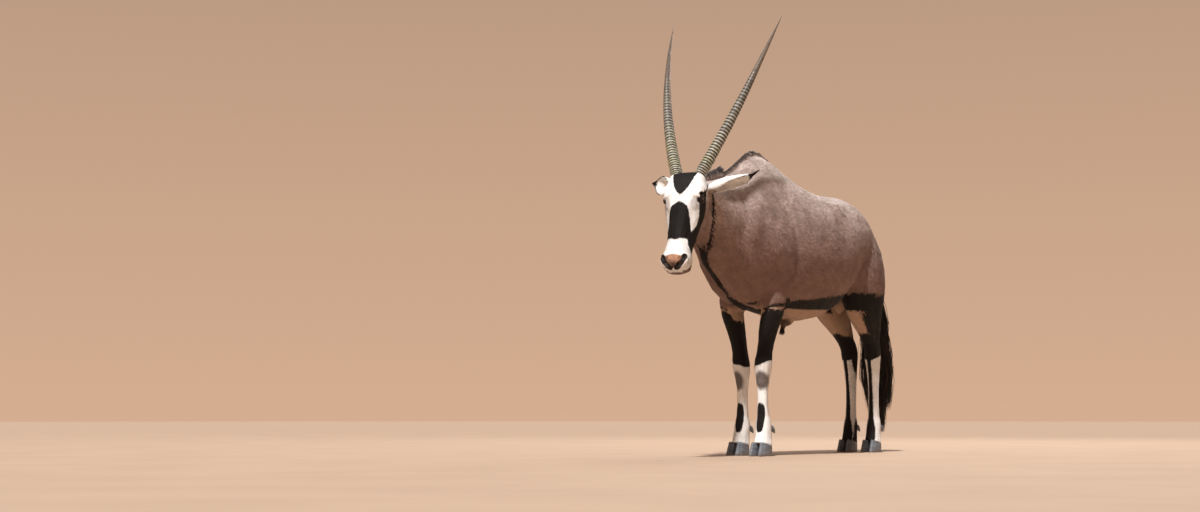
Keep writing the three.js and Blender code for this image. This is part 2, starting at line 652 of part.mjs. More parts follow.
function build() {
  const nodes = {};
  const stands = Object.entries(LEGS).map(([name, stand]) => {
    const fore = name.startsWith("fore");
    return { ...stand, name, shape: fore ? FORELEG : HINDLEG, cut: fore ? FORE_CUT : HIND_CUT,
      joint: fore ? KNEE_CUT : HOCK_CUT };
  });

  const trunkBody = join(
    trunk(), shoulder(1), shoulder(-1), haunch(1), haunch(-1), underBelly(),
    stands.map((stand) => above(leg(stand.shape, stand), stand.cut)),
  );
  const body = join(trunkBody, neck());
  nodes.shoulders = join(
    before(before(body, NECK_BASE), GIRTH),
    maneLocks(0.03, 0.25, 6).map((hair) => before(hair, NECK_BASE)),
  );
  const front = beyond(body, NECK_BASE);
  const headShape = head();
  nodes.neck = join(
    before(front, HEAD_BACK),
    maneLocks(0.2, 0.97, 20).map((hair) => before(beyond(hair, NECK_BASE), HEAD_BACK)),
  );
  nodes.head = beyond(join(headShape, front), HEAD_BACK);

  for (const stand of stands) {
    const whole = leg(stand.shape, stand);
    nodes[`${stand.name}_upper`] = above(below(whole, stand.cut), stand.joint);
    nodes[`${stand.name}_lower`] = above(below(whole, stand.joint), FETLOCK_CUT);
    nodes[`${stand.name}_foot`] = below(whole, FETLOCK_CUT)
      .trimByPlane(coronetNormal.toArray(), coronetAt(stand, GAP / 2));
    for (const [place, lean] of [["outer", 1], ["inner", -1]]) {
      nodes[`${stand.name}_hoof_${place}`] = hoof(stand, lean);
      nodes[`${stand.name}_dewclaw_${place}`] = dewclaw(stand, lean);
    }
  }

  nodes.eye_left = posed(eyeball(1));
  nodes.eye_right = posed(eyeball(-1));
  nodes.horn_left = horn(1);
  nodes.horn_right = horn(-1);
  Object.assign(nodes, ears());

  const tail = dock();
  const rump = [trunk(GAP), haunch(1, GAP), haunch(-1, GAP)];
  nodes.tail_dock = Manifold.difference([before(beyond(tail, TAIL_ROOT), TASSEL_ROOT), ...rump]);
  nodes.torso = join(beyond(body, GIRTH), before(tail, TAIL_ROOT));
  nodes.tail_tassel = join(beyond(tail, TASSEL_ROOT), beyond(tasselCore(), TASSEL_ROOT), tasselLocks());
  return nodes;
}

// Colour, roughness and which nodes wear each finish
const FINISHES = {
  coat: { color: 0x9a8070, roughness: 0.85, wears: /^(torso|shoulders|neck)$/ },
  face: { color: 0xe8e2da, roughness: 0.85, wears: /^(head|ear_)/ },
  stocking: { color: 0xcfc6bf, roughness: 0.85, wears: /_(lower|foot)$/ },
  black_coat: { color: 0x17120f, roughness: 0.8, wears: /_upper$|^tail_/ },
  horn: { color: 0x3b3a30, roughness: 0.5, wears: /^horn_/ },
  hoof: { color: 0x26211d, roughness: 0.55, wears: /_(hoof|dewclaw)_/ },
  eye: { color: 0x120a06, roughness: 0.1, wears: /^eye_/ },
};

function finishOf(name) {
  const [finish, look] = Object.entries(FINISHES).find(([, { wears }]) => wears.test(name));
  const { color, roughness } = look;
  return new THREE.MeshStandardMaterial({ name: finish, color, roughness, metalness: 0 });
}

// A node keeps its largest closed surface
function largest(body) {
  return body.decompose().sort((a, b) => b.volume() - a.volume())[0];
}

const animal = new THREE.Group();
for (const [name, body] of Object.entries(build())) {
  const { numProp, vertProperties, triVerts } = largest(body).getMesh();
  const geometry = new THREE.BufferGeometry();
  geometry.setAttribute("position", new THREE.BufferAttribute(vertProperties, numProp));
  geometry.setIndex(new THREE.BufferAttribute(triVerts, 1));
  geometry.computeVertexNormals();
  const mesh = new THREE.Mesh(geometry, finishOf(name));
  mesh.name = name;
  animal.add(mesh);
}

// Sets the animal over the origin, feet on the ground
const outline = new THREE.Box3().setFromObject(animal);
const middle = outline.getCenter(point());
animal.position.set(-middle.x, -middle.y, -outline.min.z);

export default animal;
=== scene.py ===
# %% [markdown]
# A gemsbok bull, life size, standing still. The packed solids give every form its place and size.
# This script dresses them: one smooth skin over the flesh, then horns, hooves, eyes, tail, mane and short
# coat, each with its own finish. The solids are loaded first and are never moved.

# %% Load the solids
import json
import math
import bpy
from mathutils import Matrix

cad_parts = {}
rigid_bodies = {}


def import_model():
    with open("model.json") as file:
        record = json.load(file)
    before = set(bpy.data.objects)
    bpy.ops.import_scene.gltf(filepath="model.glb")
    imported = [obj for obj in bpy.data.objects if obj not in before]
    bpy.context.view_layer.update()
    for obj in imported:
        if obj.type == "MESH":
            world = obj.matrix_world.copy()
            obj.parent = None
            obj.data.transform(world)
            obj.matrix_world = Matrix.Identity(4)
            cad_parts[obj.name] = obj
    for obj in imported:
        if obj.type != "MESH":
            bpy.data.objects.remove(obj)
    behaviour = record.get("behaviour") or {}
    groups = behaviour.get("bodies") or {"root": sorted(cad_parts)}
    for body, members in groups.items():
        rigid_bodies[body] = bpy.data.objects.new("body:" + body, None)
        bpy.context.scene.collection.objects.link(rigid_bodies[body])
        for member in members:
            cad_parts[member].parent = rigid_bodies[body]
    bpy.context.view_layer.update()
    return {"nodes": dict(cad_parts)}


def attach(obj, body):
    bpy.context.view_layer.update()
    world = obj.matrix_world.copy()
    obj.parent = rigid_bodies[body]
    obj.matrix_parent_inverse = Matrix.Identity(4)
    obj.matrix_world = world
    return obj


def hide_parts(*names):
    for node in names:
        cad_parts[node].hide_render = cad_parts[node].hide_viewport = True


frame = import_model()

from types import SimpleNamespace

import bpy
import numpy as np
from mathutils import Matrix, Vector
from mathutils.bvhtree import BVHTree

# %% [markdown]
# The camera. The photograph looks at the animal from low down and about 30 degrees to its left, with the
# animal right of the middle. The camera stands seven metres from the foot of the withers, 15 cm above the
# ground, and is turned so that the withers fall where the photograph has them. It has no shift.

# %% Camera
WITHERS_FOOT = Vector((0.01097, -0.19647, 0.0))
UP = Vector((0, 0, 1))
AZIMUTH = math.radians(30)
FORWARD = Vector((-math.sin(AZIMUTH), math.cos(AZIMUTH), 0))
RIGHT = Vector((math.cos(AZIMUTH), math.sin(AZIMUTH), 0))
CAMERA_AWAY = 7.0
CAMERA_HEIGHT = 0.15
FOCAL_PIXELS = 1750
WITHERS_PIXELS_RIGHT = 155
EYE_LEVEL_PIXELS_DOWN = 161.5

camera_data = bpy.data.cameras.new("camera")
camera = bpy.data.objects.new("camera", camera_data)
bpy.context.scene.collection.objects.link(camera)
bpy.context.scene.camera = camera
camera_data.sensor_width = 36.0
camera_data.lens = 52.7
camera.location = WITHERS_FOOT - CAMERA_AWAY * FORWARD + CAMERA_HEIGHT * UP
aim = FOCAL_PIXELS * FORWARD - WITHERS_PIXELS_RIGHT * RIGHT + EYE_LEVEL_PIXELS_DOWN * UP
camera.rotation_mode = "QUATERNION"
camera.rotation_quaternion = aim.to_track_quat("-Z", "Y")
print("camera at", [round(v, 2) for v in camera.location], "lens", camera_data.lens)

# %% [markdown]
# Materials are made of nodes. A small class plays the part of a painter's board: it adds a node, fills its
# sockets and hands back its result, so that a finish reads like a recipe.

# %% A board to mix finishes on
class Board:
    """Short ways to add and join the nodes of one tree."""

    def __init__(self, tree):
        self.nodes = tree.nodes
        self.links = tree.links

    def add(self, kind, inputs=None, **settings):
        node = self.nodes.new(kind)
        for key, value in settings.items():
            setattr(node, key, value)
        for key, value in (inputs or {}).items():
            if isinstance(value, bpy.types.NodeSocket):
                self.links.new(value, node.inputs[key])
            else:
                node.inputs[key].default_value = value
        return node

    def math(self, operation, first, second=0.0):
        return self.add("ShaderNodeMath", {0: first, 1: second}, operation=operation).outputs[0]

    def sum(self, first, second):
        return self.math("ADD", first, second)

    def times(self, first, second):
        return self.math("MULTIPLY", first, second)

    def around_zero(self, value, size):
        """A value between 0 and 1, moved to lie as far under 0 as over it, and scaled."""
        return self.times(self.math("SUBTRACT", value, 0.5), size)

    def mask(self, value, start, end, first=0.0, last=1.0):
        sockets = {"Value": value, "From Min": start, "From Max": end, "To Min": first, "To Max": last}
        return self.add("ShaderNodeMapRange", sockets, interpolation_type="SMOOTHSTEP").outputs[0]

    def mix(self, factor, first, second, blend="MIX"):
        node = self.add("ShaderNodeMix", {0: factor, 6: first, 7: second}, data_type="RGBA", blend_type=blend)
        return node.outputs[2]

    def shaded(self, colour, shade):
        """A colour made lighter or darker by a number."""
        grey = self.add("ShaderNodeCombineColor", {0: shade, 1: shade, 2: shade}).outputs[0]
        return self.mix(1.0, colour, grey, "MULTIPLY")

    def noise(self, vector, scale, detail=2.0, rough=0.5, stretch=None):
        if stretch:
            vector = self.add("ShaderNodeMapping", {"Vector": vector, "Scale": stretch}).outputs[0]
        sockets = {"Vector": vector, "Scale": scale, "Detail": detail, "Roughness": rough}
        return self.add("ShaderNodeTexNoise", sockets).outputs["Fac"]

    def layer(self, name):
        return self.add("ShaderNodeAttribute", attribute_name=name).outputs["Fac"]

    def ramp(self, value, stops):
        """A colour ramp with its stops, each a place and a colour, lowest first."""
        node = self.add("ShaderNodeValToRGB", {"Fac": value})
        elements = node.color_ramp.elements
        for element, (place, colour) in zip((elements[0], elements[1]), (stops[0], stops[-1])):
            element.position = place
            element.color = colour
        for place, colour in stops[1:-1]:
            elements.new(place).color = colour
        return node.outputs["Color"]

    def surface(self, colour, rough, relief=None, strength=0.5, distance=0.0012, plain=None):
        """End a recipe with the surface shader. `plain` holds numbers that are the same all over."""
        sockets = {"Base Color": colour, "Roughness": rough, **(plain or {})}
        if relief is not None:
            bump = self.add("ShaderNodeBump", {"Strength": strength, "Distance": distance, "Height": relief})
            sockets["Normal"] = bump.outputs[0]
        shader = self.add("ShaderNodeBsdfPrincipled", sockets)
        self.add("ShaderNodeOutputMaterial", {"Surface": shader.outputs[0]})


def new_finish(name):
    """A new material, the board of its nodes, and the piece's own coordinates."""
    finish = bpy.data.materials.new(name)
    finish.use_nodes = True
    finish.node_tree.nodes.clear()
    board = Board(finish.node_tree)
    return finish, board, board.add("ShaderNodeTexCoord").outputs["Object"]


def dress(things, finish):
    for thing in things:
        thing.data.materials.clear()
        thing.data.materials.append(finish)


print("a board with", len([way for way in vars(Board) if not way.startswith("_")]), "ways")

# %% [markdown]
# The studio. A wide sandy floor meets a sky of nearly the same brightness. A sun lamp with softened edges
# stands high behind the camera and a little to its left, as the sun does in the photograph, and a broad
# weak lamp behind lights the rims.

# %% Floor and light
SAND = ((0.0, (0.35, 0.242, 0.170, 1)), (1.0, (0.43, 0.306, 0.218, 1)))
SKY = ((0.0, (0.83, 0.525, 0.350, 1)), (0.38, (0.50, 0.338, 0.240, 1)), (0.9, (0.22, 0.24, 0.28, 1)))
SKY_STRENGTH = 0.80
MIDDLE = Vector((0, 0, 0.95))
SUN_SIDE = math.radians(17)
SUN_HEIGHT = math.radians(58)
SUN_WAY = Vector((math.sin(SUN_SIDE), -math.cos(SUN_SIDE), math.tan(SUN_HEIGHT)))
SUN_WIDTH = math.radians(3)
SUN_STRENGTH = 5.6
RIM_WAY = 4.2 * FORWARD + 1.6 * RIGHT + 3.4 * UP
RIM_WIDTH = 2.5
RIM_WATTS = 130

bpy.ops.mesh.primitive_circle_add(vertices=96, radius=60, fill_type="NGON", location=(0, 0, 0))
floor = bpy.context.object
floor.name = "floor"
sand, board, place = new_finish("floor_sand")
board.surface(board.ramp(board.noise(place, 2.2, 6.0), SAND), 0.9)
dress([floor], sand)

world = bpy.data.worlds.new("studio")
bpy.context.scene.world = world
world.use_nodes = True
air = Board(world.node_tree)
towards = air.add("ShaderNodeTexCoord").outputs["Generated"]
rise = air.add("ShaderNodeSeparateXYZ", {0: towards}).outputs["Z"]
sky = world.node_tree.nodes["Background"]
sky.inputs["Strength"].default_value = SKY_STRENGTH
air.links.new(air.ramp(rise, SKY), sky.inputs["Color"])
bpy.context.scene.view_settings.view_transform = "Standard"


def lamp(name, kind, way, power, colour):
    """A lamp that stands off the animal's middle and looks at it."""
    data = bpy.data.lights.new(name, kind)
    data.energy = power
    data.color = colour
    thing = bpy.data.objects.new(name, data)
    bpy.context.scene.collection.objects.link(thing)
    thing.location = MIDDLE + way
    thing.rotation_mode = "QUATERNION"
    thing.rotation_quaternion = (-way).to_track_quat("-Z", "Y")
    return data


sun = lamp("sun", "SUN", 4 * SUN_WAY, SUN_STRENGTH, (1.0, 0.99, 0.98))
sun.angle = SUN_WIDTH
rim = lamp("rim", "AREA", RIM_WAY, RIM_WATTS, (1.0, 0.97, 0.93))
rim.shape = "DISK"
rim.size = RIM_WIDTH
print("floor and two lamps")

# %% [markdown]
# The animal's own measure. Places are given in millimetres from the foot of the withers, and those of the
# head in a frame of its own that hangs from the poll. A few helpers turn places on the model into those
# measures.

# %% Body and head measures
POLL = Vector((26, -530, 1048))
HEAD_TURN = math.radians(11)
HEAD_TILT = math.radians(-22)
HEAD_POSE = Matrix.Translation(POLL) @ Matrix.Rotation(HEAD_TURN, 4, "Z") @ Matrix.Rotation(HEAD_TILT, 4, "X")
HEAD_BACK = HEAD_POSE.inverted()


def to_body(points):
    return (points - np.array(WITHERS_FOOT)) * 1000


def to_world(points):
    return points / 1000 + np.array(WITHERS_FOOT)


def turned(points, matrix):
    m = np.array(matrix)
    return points @ m[:3, :3].T + m[:3, 3]


def to_head(points):
    return turned(to_body(points), HEAD_BACK)


def head_to_world(points):
    return to_world(turned(np.asarray(points, float), HEAD_POSE))


def head_ways(ways):
    """Directions given in the head's frame, turned as the head is."""
    return ways @ np.array(HEAD_POSE)[:3, :3].T


print("poll at", [round(v, 3) for v in to_world(np.array(POLL))])

# %% [markdown]
# Shared tools. Three helpers work on numbers: a soft step, a table read with straight lines between its
# pairs, and a direction of length one. The others select a piece, edit it, and read or set its points.

# %% Numbers and points
def fade(value, start, end):
    """0 before `start`, 1 after `end`, and a soft step between them."""
    t = np.clip((value - start) / (end - start), 0, 1)
    return t * t * (3 - 2 * t)


def at(value, table):
    """Look a value up in a table of pairs."""
    return np.interp(value, *zip(*table))


def unit(vector):
    vector = np.asarray(vector, float)
    return vector / np.linalg.norm(vector, axis=-1, keepdims=True)


def only(*things):
    bpy.ops.object.select_all(action="DESELECT")
    for thing in things:
        thing.select_set(True)
    bpy.context.view_layer.objects.active = things[0]


def edit(thing, work):
    """Do some work on the whole of a piece in edit mode."""
    only(thing)
    bpy.ops.object.mode_set(mode="EDIT")
    bpy.ops.mesh.select_all(action="SELECT")
    work()
    bpy.ops.object.mode_set(mode="OBJECT")


def points_of(mesh):
    flat = np.empty(len(mesh.vertices) * 3)
    mesh.vertices.foreach_get("co", flat)
    return flat.reshape(-1, 3)


def place_points(mesh, points):
    mesh.vertices.foreach_set("co", np.ascontiguousarray(points).ravel())
    mesh.update()


print("a soft step at a quarter of its way:", fade(0.25, 0, 1))

# %% [markdown]
# Rounded paths through a few places carry the horns, the tail and every strand of hair. A tube is a flat
# grid rolled round such a path, which keeps its rings even. The tail's path is here too, because skin and
# tassel both follow it.

# %% Paths and tubes
def smooth_path(knots, rings):
    """Paths (count, rings, 3) through a few knots (count, knots, 3), as rounded curves."""
    share = np.linspace(0, 1, rings) * (knots.shape[1] - 1)
    start = np.minimum(share.astype(int), knots.shape[1] - 2)
    t = (share - start)[None, :, None]
    before = knots[:, np.maximum(start - 1, 0)]
    p, q = knots[:, start], knots[:, start + 1]
    after = knots[:, np.minimum(start + 2, knots.shape[1] - 1)]
    return 0.5 * (
        2 * p + (q - before) * t + (2 * before - 5 * p + 4 * q - after) * t**2
        + (3 * p - before - 3 * q + after) * t**3
    )


def places_on(path, steps, where):
    """Places on a path, where `steps` says how far along each of its points lies."""
    return np.stack([np.interp(where, steps, path[:, axis]) for axis in range(3)], axis=-1)


def tube(name, centres, radii, first_side, sides, bulge=None):
    """A tube of rings round a path, with two half-widths for each ring, and the work that closes its ends."""
    bpy.ops.object.select_all(action="DESELECT")
    bpy.ops.mesh.primitive_grid_add(x_subdivisions=sides, y_subdivisions=len(centres) - 1, size=1)
    thing = bpy.context.object
    thing.name = name
    grid = points_of(thing.data)
    row = np.rint((grid[:, 1] + 0.5) * (len(centres) - 1)).astype(int)
    turn = (grid[:, 0] + 0.5) * 2 * math.pi
    axis = unit(np.gradient(centres, axis=0))
    u = unit(np.cross(np.broadcast_to(first_side, axis.shape), axis))
    w = np.cross(axis, u)
    size = np.ones(len(grid)) if bulge is None else bulge(row, turn)
    offset = u[row] * (np.cos(turn) * radii[row, 0] * size)[:, None]
    offset += w[row] * (np.sin(turn) * radii[row, 1] * size)[:, None]
    place_points(thing.data, centres[row] + offset)

    def close():
        bpy.ops.mesh.remove_doubles(threshold=1e-6)
        bpy.ops.mesh.select_all(action="DESELECT")
        bpy.ops.mesh.select_non_manifold()
        bpy.ops.mesh.edge_face_add()
        bpy.ops.mesh.select_all(action="SELECT")
        bpy.ops.mesh.normals_make_consistent(inside=False)

    return thing, row, close


DOCK_CURVE = np.array(
    (
        (0, 815, 985), (0, 880, 972), (1, 930, 908), (3, 958, 820),
        (6, 982, 720), (10, 1012, 610), (15, 1034, 520),
    ),
    float,
)


def along_dock(share):
    """Places on the tail's middle line, from 0 at its root to 1 at its tip."""
    fine = smooth_path(DOCK_CURVE[None], 200)[0]
    length = np.concatenate(((0,), np.cumsum(np.linalg.norm(np.diff(fine, axis=0), axis=1))))
    return places_on(fine, length, np.asarray(share) * length[-1])


print("the tail's bone ends", round(float(along_dock(1.0)[2])), "mm above the ground")

# %% [markdown]
# The flesh. Copies of the solids of body, neck, head and legs are joined, so that the solids themselves
# stay untouched. Their triangles are loose, so doubled points are merged first. The ears are thin leaves,
# which the coming remesh would tear, so they are added later.

# %% Copies of the flesh
LEGS = ("foreleg_left", "foreleg_right", "hindleg_left", "hindleg_right")
LEG_FLESH = [f"{leg}_{part}" for leg in LEGS for part in ("upper", "lower", "foot")]
FLESH = ["torso", "shoulders", "neck", "head", "tail_dock", *LEG_FLESH]


def copy_of(names, new_name):
    """One mesh of the named solids, in their places."""
    copies = []
    for name in names:
        source = frame["nodes"][name]
        twin = bpy.data.objects.new(new_name, source.data.copy())
        twin.data.transform(source.matrix_world)
        bpy.context.scene.collection.objects.link(twin)
        copies.append(twin)
    for twin in copies:
        edit(twin, lambda: bpy.ops.mesh.remove_doubles(threshold=1e-5))
    only(*copies)
    if len(copies) > 1:
        bpy.ops.object.join()
    whole = bpy.context.object
    whole.name = new_name
    whole.data.name = new_name
    whole.data.materials.clear()
    return whole


skin = copy_of(FLESH, "skin")
print("flesh:", len(FLESH), "solids with", len(skin.data.vertices), "points")

# %% [markdown]
# Three places are set right on the joined copy. The tail's bone gets a round tube that narrows into the
# tassel. The muzzle is drawn a little longer and wider, as the photograph shows it. The mane's ridge is
# pressed down to the crest of the neck, because real hair will stand there.

# %% Tail bone, muzzle and crest
DOCK_RADIUS = ((0.28, 15), (0.5, 14), (1.0, 8))
MUZZLE_LONGER = 8
MUZZLE_WIDER = 0.10
CREST_HEIGHT = (
    (-520, 1034), (-500, 1036), (-390, 1052), (-250, 1087), (-160, 1137),
    (-135, 1152), (-60, 1193), (0, 1205), (70, 1198), (170, 1152),
)
RIDGE_MIDDLE = ((-500, 24), (-250, 4), (0, 0))
RIDGE_HALF = 34
RIDGE_ENDS = (-470, 170)

dock_share = np.linspace(0.28, 1.0, 30)
dock_radius = at(dock_share, DOCK_RADIUS) / 1000
dock_middle = to_world(along_dock(dock_share))
dock, _, close_dock = tube("dock", dock_middle, np.stack((dock_radius, dock_radius), 1), (1, 0, 0), 16)
edit(dock, close_dock)
only(skin, dock)
bpy.ops.object.join()

muzzle = to_head(points_of(skin.data))
front = fade(-muzzle[:, 2], 290, 385) * (to_body(points_of(skin.data))[:, 1] < -470)
muzzle[:, 2] -= MUZZLE_LONGER * front
muzzle[:, 0] *= 1 + MUZZLE_WIDER * fade(-muzzle[:, 2], 300, 350) * (front > 0)
place_points(skin.data, head_to_world(muzzle))

raw = to_body(points_of(skin.data))
ridge = np.abs(raw[:, 0] - at(raw[:, 1], RIDGE_MIDDLE)) < RIDGE_HALF
ridge &= (raw[:, 1] > RIDGE_ENDS[0]) & (raw[:, 1] < RIDGE_ENDS[1])
ridge &= raw[:, 2] > at(raw[:, 1], CREST_HEIGHT) + 2
raw[ridge, 2] = at(raw[ridge, 1], CREST_HEIGHT) - 3
place_points(skin.data, to_world(raw))
print("mane pressed down at", int(ridge.sum()), "points")

# %% [markdown]
# Now the flesh becomes one closed surface. A voxel remesh melts overlapping solids together, with an even
# net that can then be smoothed and sculpted. The copy grows by half a millimetre first, so that the
# hair-thin gaps in it close. It is remeshed twice: finely for the skin, and coarsely for a form that is
# quick to smooth.

# %% One closed net over the flesh
SKIN_VOXEL = 0.0023
FORM_VOXEL = 0.0075
GROWTH = 0.0005


def remesh(thing, size):
    only(thing)
    thing.data.remesh_voxel_size = size
    thing.data.remesh_voxel_adaptivity = 0
    bpy.ops.object.voxel_remesh()


edit(skin, lambda: bpy.ops.transform.shrink_fatten(value=GROWTH))
form = skin.copy()
form.data = skin.data.copy()
form.name = "form"
bpy.context.scene.collection.objects.link(form)
remesh(skin, SKIN_VOXEL)
remesh(form, FORM_VOXEL)
print("nets:", len(skin.data.vertices), "and", len(form.data.vertices), "points")

# %% [markdown]
# Zones of the animal. Smoothing, sculpting and hair treat its regions differently, so each region has a
# soft share: body and neck, the legs, and the plain parts of the head between eyes, nostrils and mouth. The
# head is alike on both sides, so places on it are given for the left half only.

# %% Zones of the body
EYE_PLACE = (61, -20, -104)
MOUTH = ((0, -13, -402), (26, -4, -398), (45, 14, -385), (52, 27, -358), (51, 36, -326))
NOSTRIL = ((13, -23, -393), (28, -32, -380), (37, -36, -367), (44, -34, -353))


def bodily(points):
    """1 on body and neck, 0 on the legs and the head."""
    body, head = to_body(points), to_head(points)
    legs = fade(body[:, 2], 520, 640)
    behind_head = fade(head[:, 1] - 0.35 * head[:, 2], 95, 190)
    return legs * behind_head


def on_legs(points):
    body = to_body(points)
    return (1 - fade(body[:, 2], 540, 660)) * fade(body[:, 2], 70, 100)


def distance_to(points, path):
    """The distance of each point from a line through the given places."""
    path = np.asarray(path, float)
    best = np.full(len(points), 1e9)
    for start, end in zip(path[:-1], path[1:]):
        step = end - start
        share = np.clip((points - start) @ step / (step @ step), 0, 1)
        best = np.minimum(best, np.linalg.norm(points - start - share[:, None] * step, axis=1))
    return best


def folded(points):
    """Head places with the right half folded on to the left one."""
    head = to_head(points)
    head[:, 0] = np.abs(head[:, 0])
    return head


def on_head(points):
    """1 on the plain parts of the head, 0 at the eyes, nostrils and mouth and behind the head."""
    head = folded(points)
    plain = fade(np.linalg.norm(head - EYE_PLACE, axis=1), 25, 40)
    plain *= fade(distance_to(head, NOSTRIL), 9, 18) * fade(distance_to(head, MOUTH), 5, 14)
    return plain * (1 - bodily(points)) * fade(to_body(points)[:, 2], 520, 640)


form_points = points_of(form.data)
print("of the form's points,", round(float(bodily(form_points).mean()), 2), "lie on body and neck")

# %% [markdown]
# The solids are faceted, and their muscles meet in creases. The coarse form is smoothed for many rounds,
# strongly on body and neck and gently on the legs, by pulling each point to the middle of its neighbours and
# pushing it back a little more, which keeps the volume. The fine net is then wrapped on to this smooth form.

# %% Smooth the form, and wrap the fine net on to it
def edges_of(mesh):
    flat = np.empty(len(mesh.edges) * 2, dtype=np.int32)
    mesh.edges.foreach_get("vertices", flat)
    return flat.reshape(-1, 2)


def relax(mesh, weight, rounds, pull=0.5, push=0.52):
    """Smooth a net without shrinking it, more where `weight` is high."""
    points = points_of(mesh)
    a, b = edges_of(mesh).T
    count = len(points)
    degree = np.maximum(np.bincount(a, minlength=count) + np.bincount(b, minlength=count), 1)
    weight = np.broadcast_to(weight, count)
    for _ in range(rounds):
        for amount in (pull, -push):
            for axis in range(3):
                column = points[:, axis]
                mean = np.bincount(a, column[b], count) + np.bincount(b, column[a], count)
                column += amount * weight * (mean / degree - column)
    place_points(mesh, points)


def vertex_group(thing, name, weight):
    """A named group of points with weights in twentieths."""
    group = thing.vertex_groups.new(name=name)
    steps = np.round(weight * 20).astype(int)
    for step in range(1, 21):
        group.add(np.flatnonzero(steps == step).tolist(), step / 20, "REPLACE")
    return group.name


def apply_modifier(thing, kind, **settings):
    only(thing)
    modifier = thing.modifiers.new(kind, kind)
    for key, value in settings.items():
        setattr(modifier, key, value)
    bpy.ops.object.modifier_apply(modifier=modifier.name)


relax(form.data, np.maximum(bodily(form_points), 0.12 * on_legs(form_points)), rounds=70)
form_points = points_of(form.data)
relax(form.data, np.maximum(0.6 * bodily(form_points), 0.5 * on_legs(form_points)), rounds=8)
relax(form.data, 0.8 * on_head(points_of(form.data)), rounds=12)

skin_points = points_of(skin.data)
follow = np.clip(bodily(skin_points) + 0.85 * on_legs(skin_points) + on_head(skin_points), 0, 1)
followers = vertex_group(skin, "follow", follow)
apply_modifier(skin, "SHRINKWRAP", target=form, wrap_method="NEAREST_SURFACEPOINT", vertex_group=followers)
bpy.data.objects.remove(form)
relax(skin.data, 1.0, rounds=6)
print("smoothed:", len(skin.data.vertices), "points")

# %% [markdown]
# The ears. A gemsbok's ear is a long leaf rolled into a cup, on a stalk that rises behind the horn. A flat
# grid is the easiest start for a leaf: each row is rolled round the ear's middle line, Solidify gives it
# thickness, and a small ball closes its root. Both ears are then melted into the skin with a Boolean, and
# the seam is smoothed.

# %% Ears on the skin
EAR_LENGTH = 202
EAR_HALF = (
    (0, 17), (0.15, 25), (0.4, 36), (0.62, 37), (0.73, 32), (0.79, 22), (0.86, 11), (0.94, 6.5), (1, 2.2),
)
EAR_DEPTH = (
    (0, 17), (0.15, 24), (0.4, 26), (0.62, 21), (0.73, 17), (0.79, 12), (0.86, 6), (0.94, 4), (1, 2.0),
)
EAR_WRAP = (
    (0, 150), (0.15, 132), (0.4, 108), (0.62, 94), (0.73, 88), (0.79, 86), (0.86, 84), (0.94, 82), (1, 80),
)
EAR_BEND = {
    "left": ((0, 0), (0.4, -5), (0.72, -13), (0.8, -9), (1, 6)),
    "right": ((0, 0), (0.4, -3), (0.72, -7), (0.8, -9), (1, -16)),
}
EARS = {
    "left": ((68, 40, -36), (0.83, 0.46, 0.32), (0.32, -0.2, -0.92)),
    "right": ((-66, 40, -36), (-0.82, 0.46, 0.34), (-0.46, -0.87, 0.17)),
}
EAR_THICKNESS = 0.0052
EAR_PLUG = (18, 24, 17)
EAR_PLUG_SHARE = 0.03


def ear_frame(side):
    """The ear's root, and its ways along, across and out of its cup."""
    root, along, facing = EARS[side]
    root = turned(np.array(root, float), HEAD_POSE)
    along = unit(along)
    across = unit(np.cross(along, unit(facing)))
    return root, along, across, np.cross(across, along)


def ear_middle(side, share):
    root, along, _, _ = ear_frame(side)
    share = np.asarray(share)[..., None]
    return root + EAR_LENGTH * share * along + np.array((0, 0, 1)) * at(share, EAR_BEND[side])


def ear_wall(side, share, turn):
    """Places on the rolled leaf, at a share of its length and a turn from the middle of its back."""
    _, _, across, facing = ear_frame(side)
    out = across * (np.sin(turn) * at(share, EAR_HALF))[:, None]
    return ear_middle(side, share) + (out - facing * (np.cos(turn) * at(share, EAR_DEPTH))[:, None])


def ear_leaf(side):
    bpy.ops.object.select_all(action="DESELECT")
    bpy.ops.mesh.primitive_grid_add(x_subdivisions=34, y_subdivisions=70, size=1)
    leaf = bpy.context.object
    leaf.name = f"ear_{side}_leaf"
    grid = points_of(leaf.data)
    share = grid[:, 1] + 0.5
    turn = np.radians(at(share, EAR_WRAP)) * grid[:, 0] * 2
    place_points(leaf.data, to_world(ear_wall(side, share, turn)))
    thickness = 1 - 0.45 * fade(share, 0.2, 0.95) - 0.2 * fade(np.abs(grid[:, 0]), 0.38, 0.5)
    group = vertex_group(leaf, "thickness", thickness)
    apply_modifier(leaf, "SOLIDIFY", thickness=EAR_THICKNESS, offset=1, vertex_group=group)
    edit(leaf, lambda: bpy.ops.mesh.normals_make_consistent(inside=False))
    relax(leaf.data, 1.0, rounds=3)
    return leaf


def ear_plug(side):
    """A ball that closes the ear's root."""
    _, along, across, facing = ear_frame(side)
    wide, long, deep = EAR_PLUG
    bpy.ops.object.select_all(action="DESELECT")
    bpy.ops.mesh.primitive_ico_sphere_add(subdivisions=4, radius=1, location=(0, 0, 0))
    plug = bpy.context.object
    plug.name = f"ear_{side}_plug"
    ball = points_of(plug.data)
    ball = ball[:, :1] * across * wide + ball[:, 1:2] * along * long + ball[:, 2:] * facing * deep
    place_points(plug.data, to_world(ball + ear_middle(side, EAR_PLUG_SHARE)))
    return plug


def melt_in(thing, other):
    apply_modifier(thing, "BOOLEAN", operation="UNION", solver="MANIFOLD", object=other)
    bpy.data.objects.remove(other)


for side in EARS:
    leaf = ear_leaf(side)
    melt_in(leaf, ear_plug(side))
    melt_in(skin, leaf)

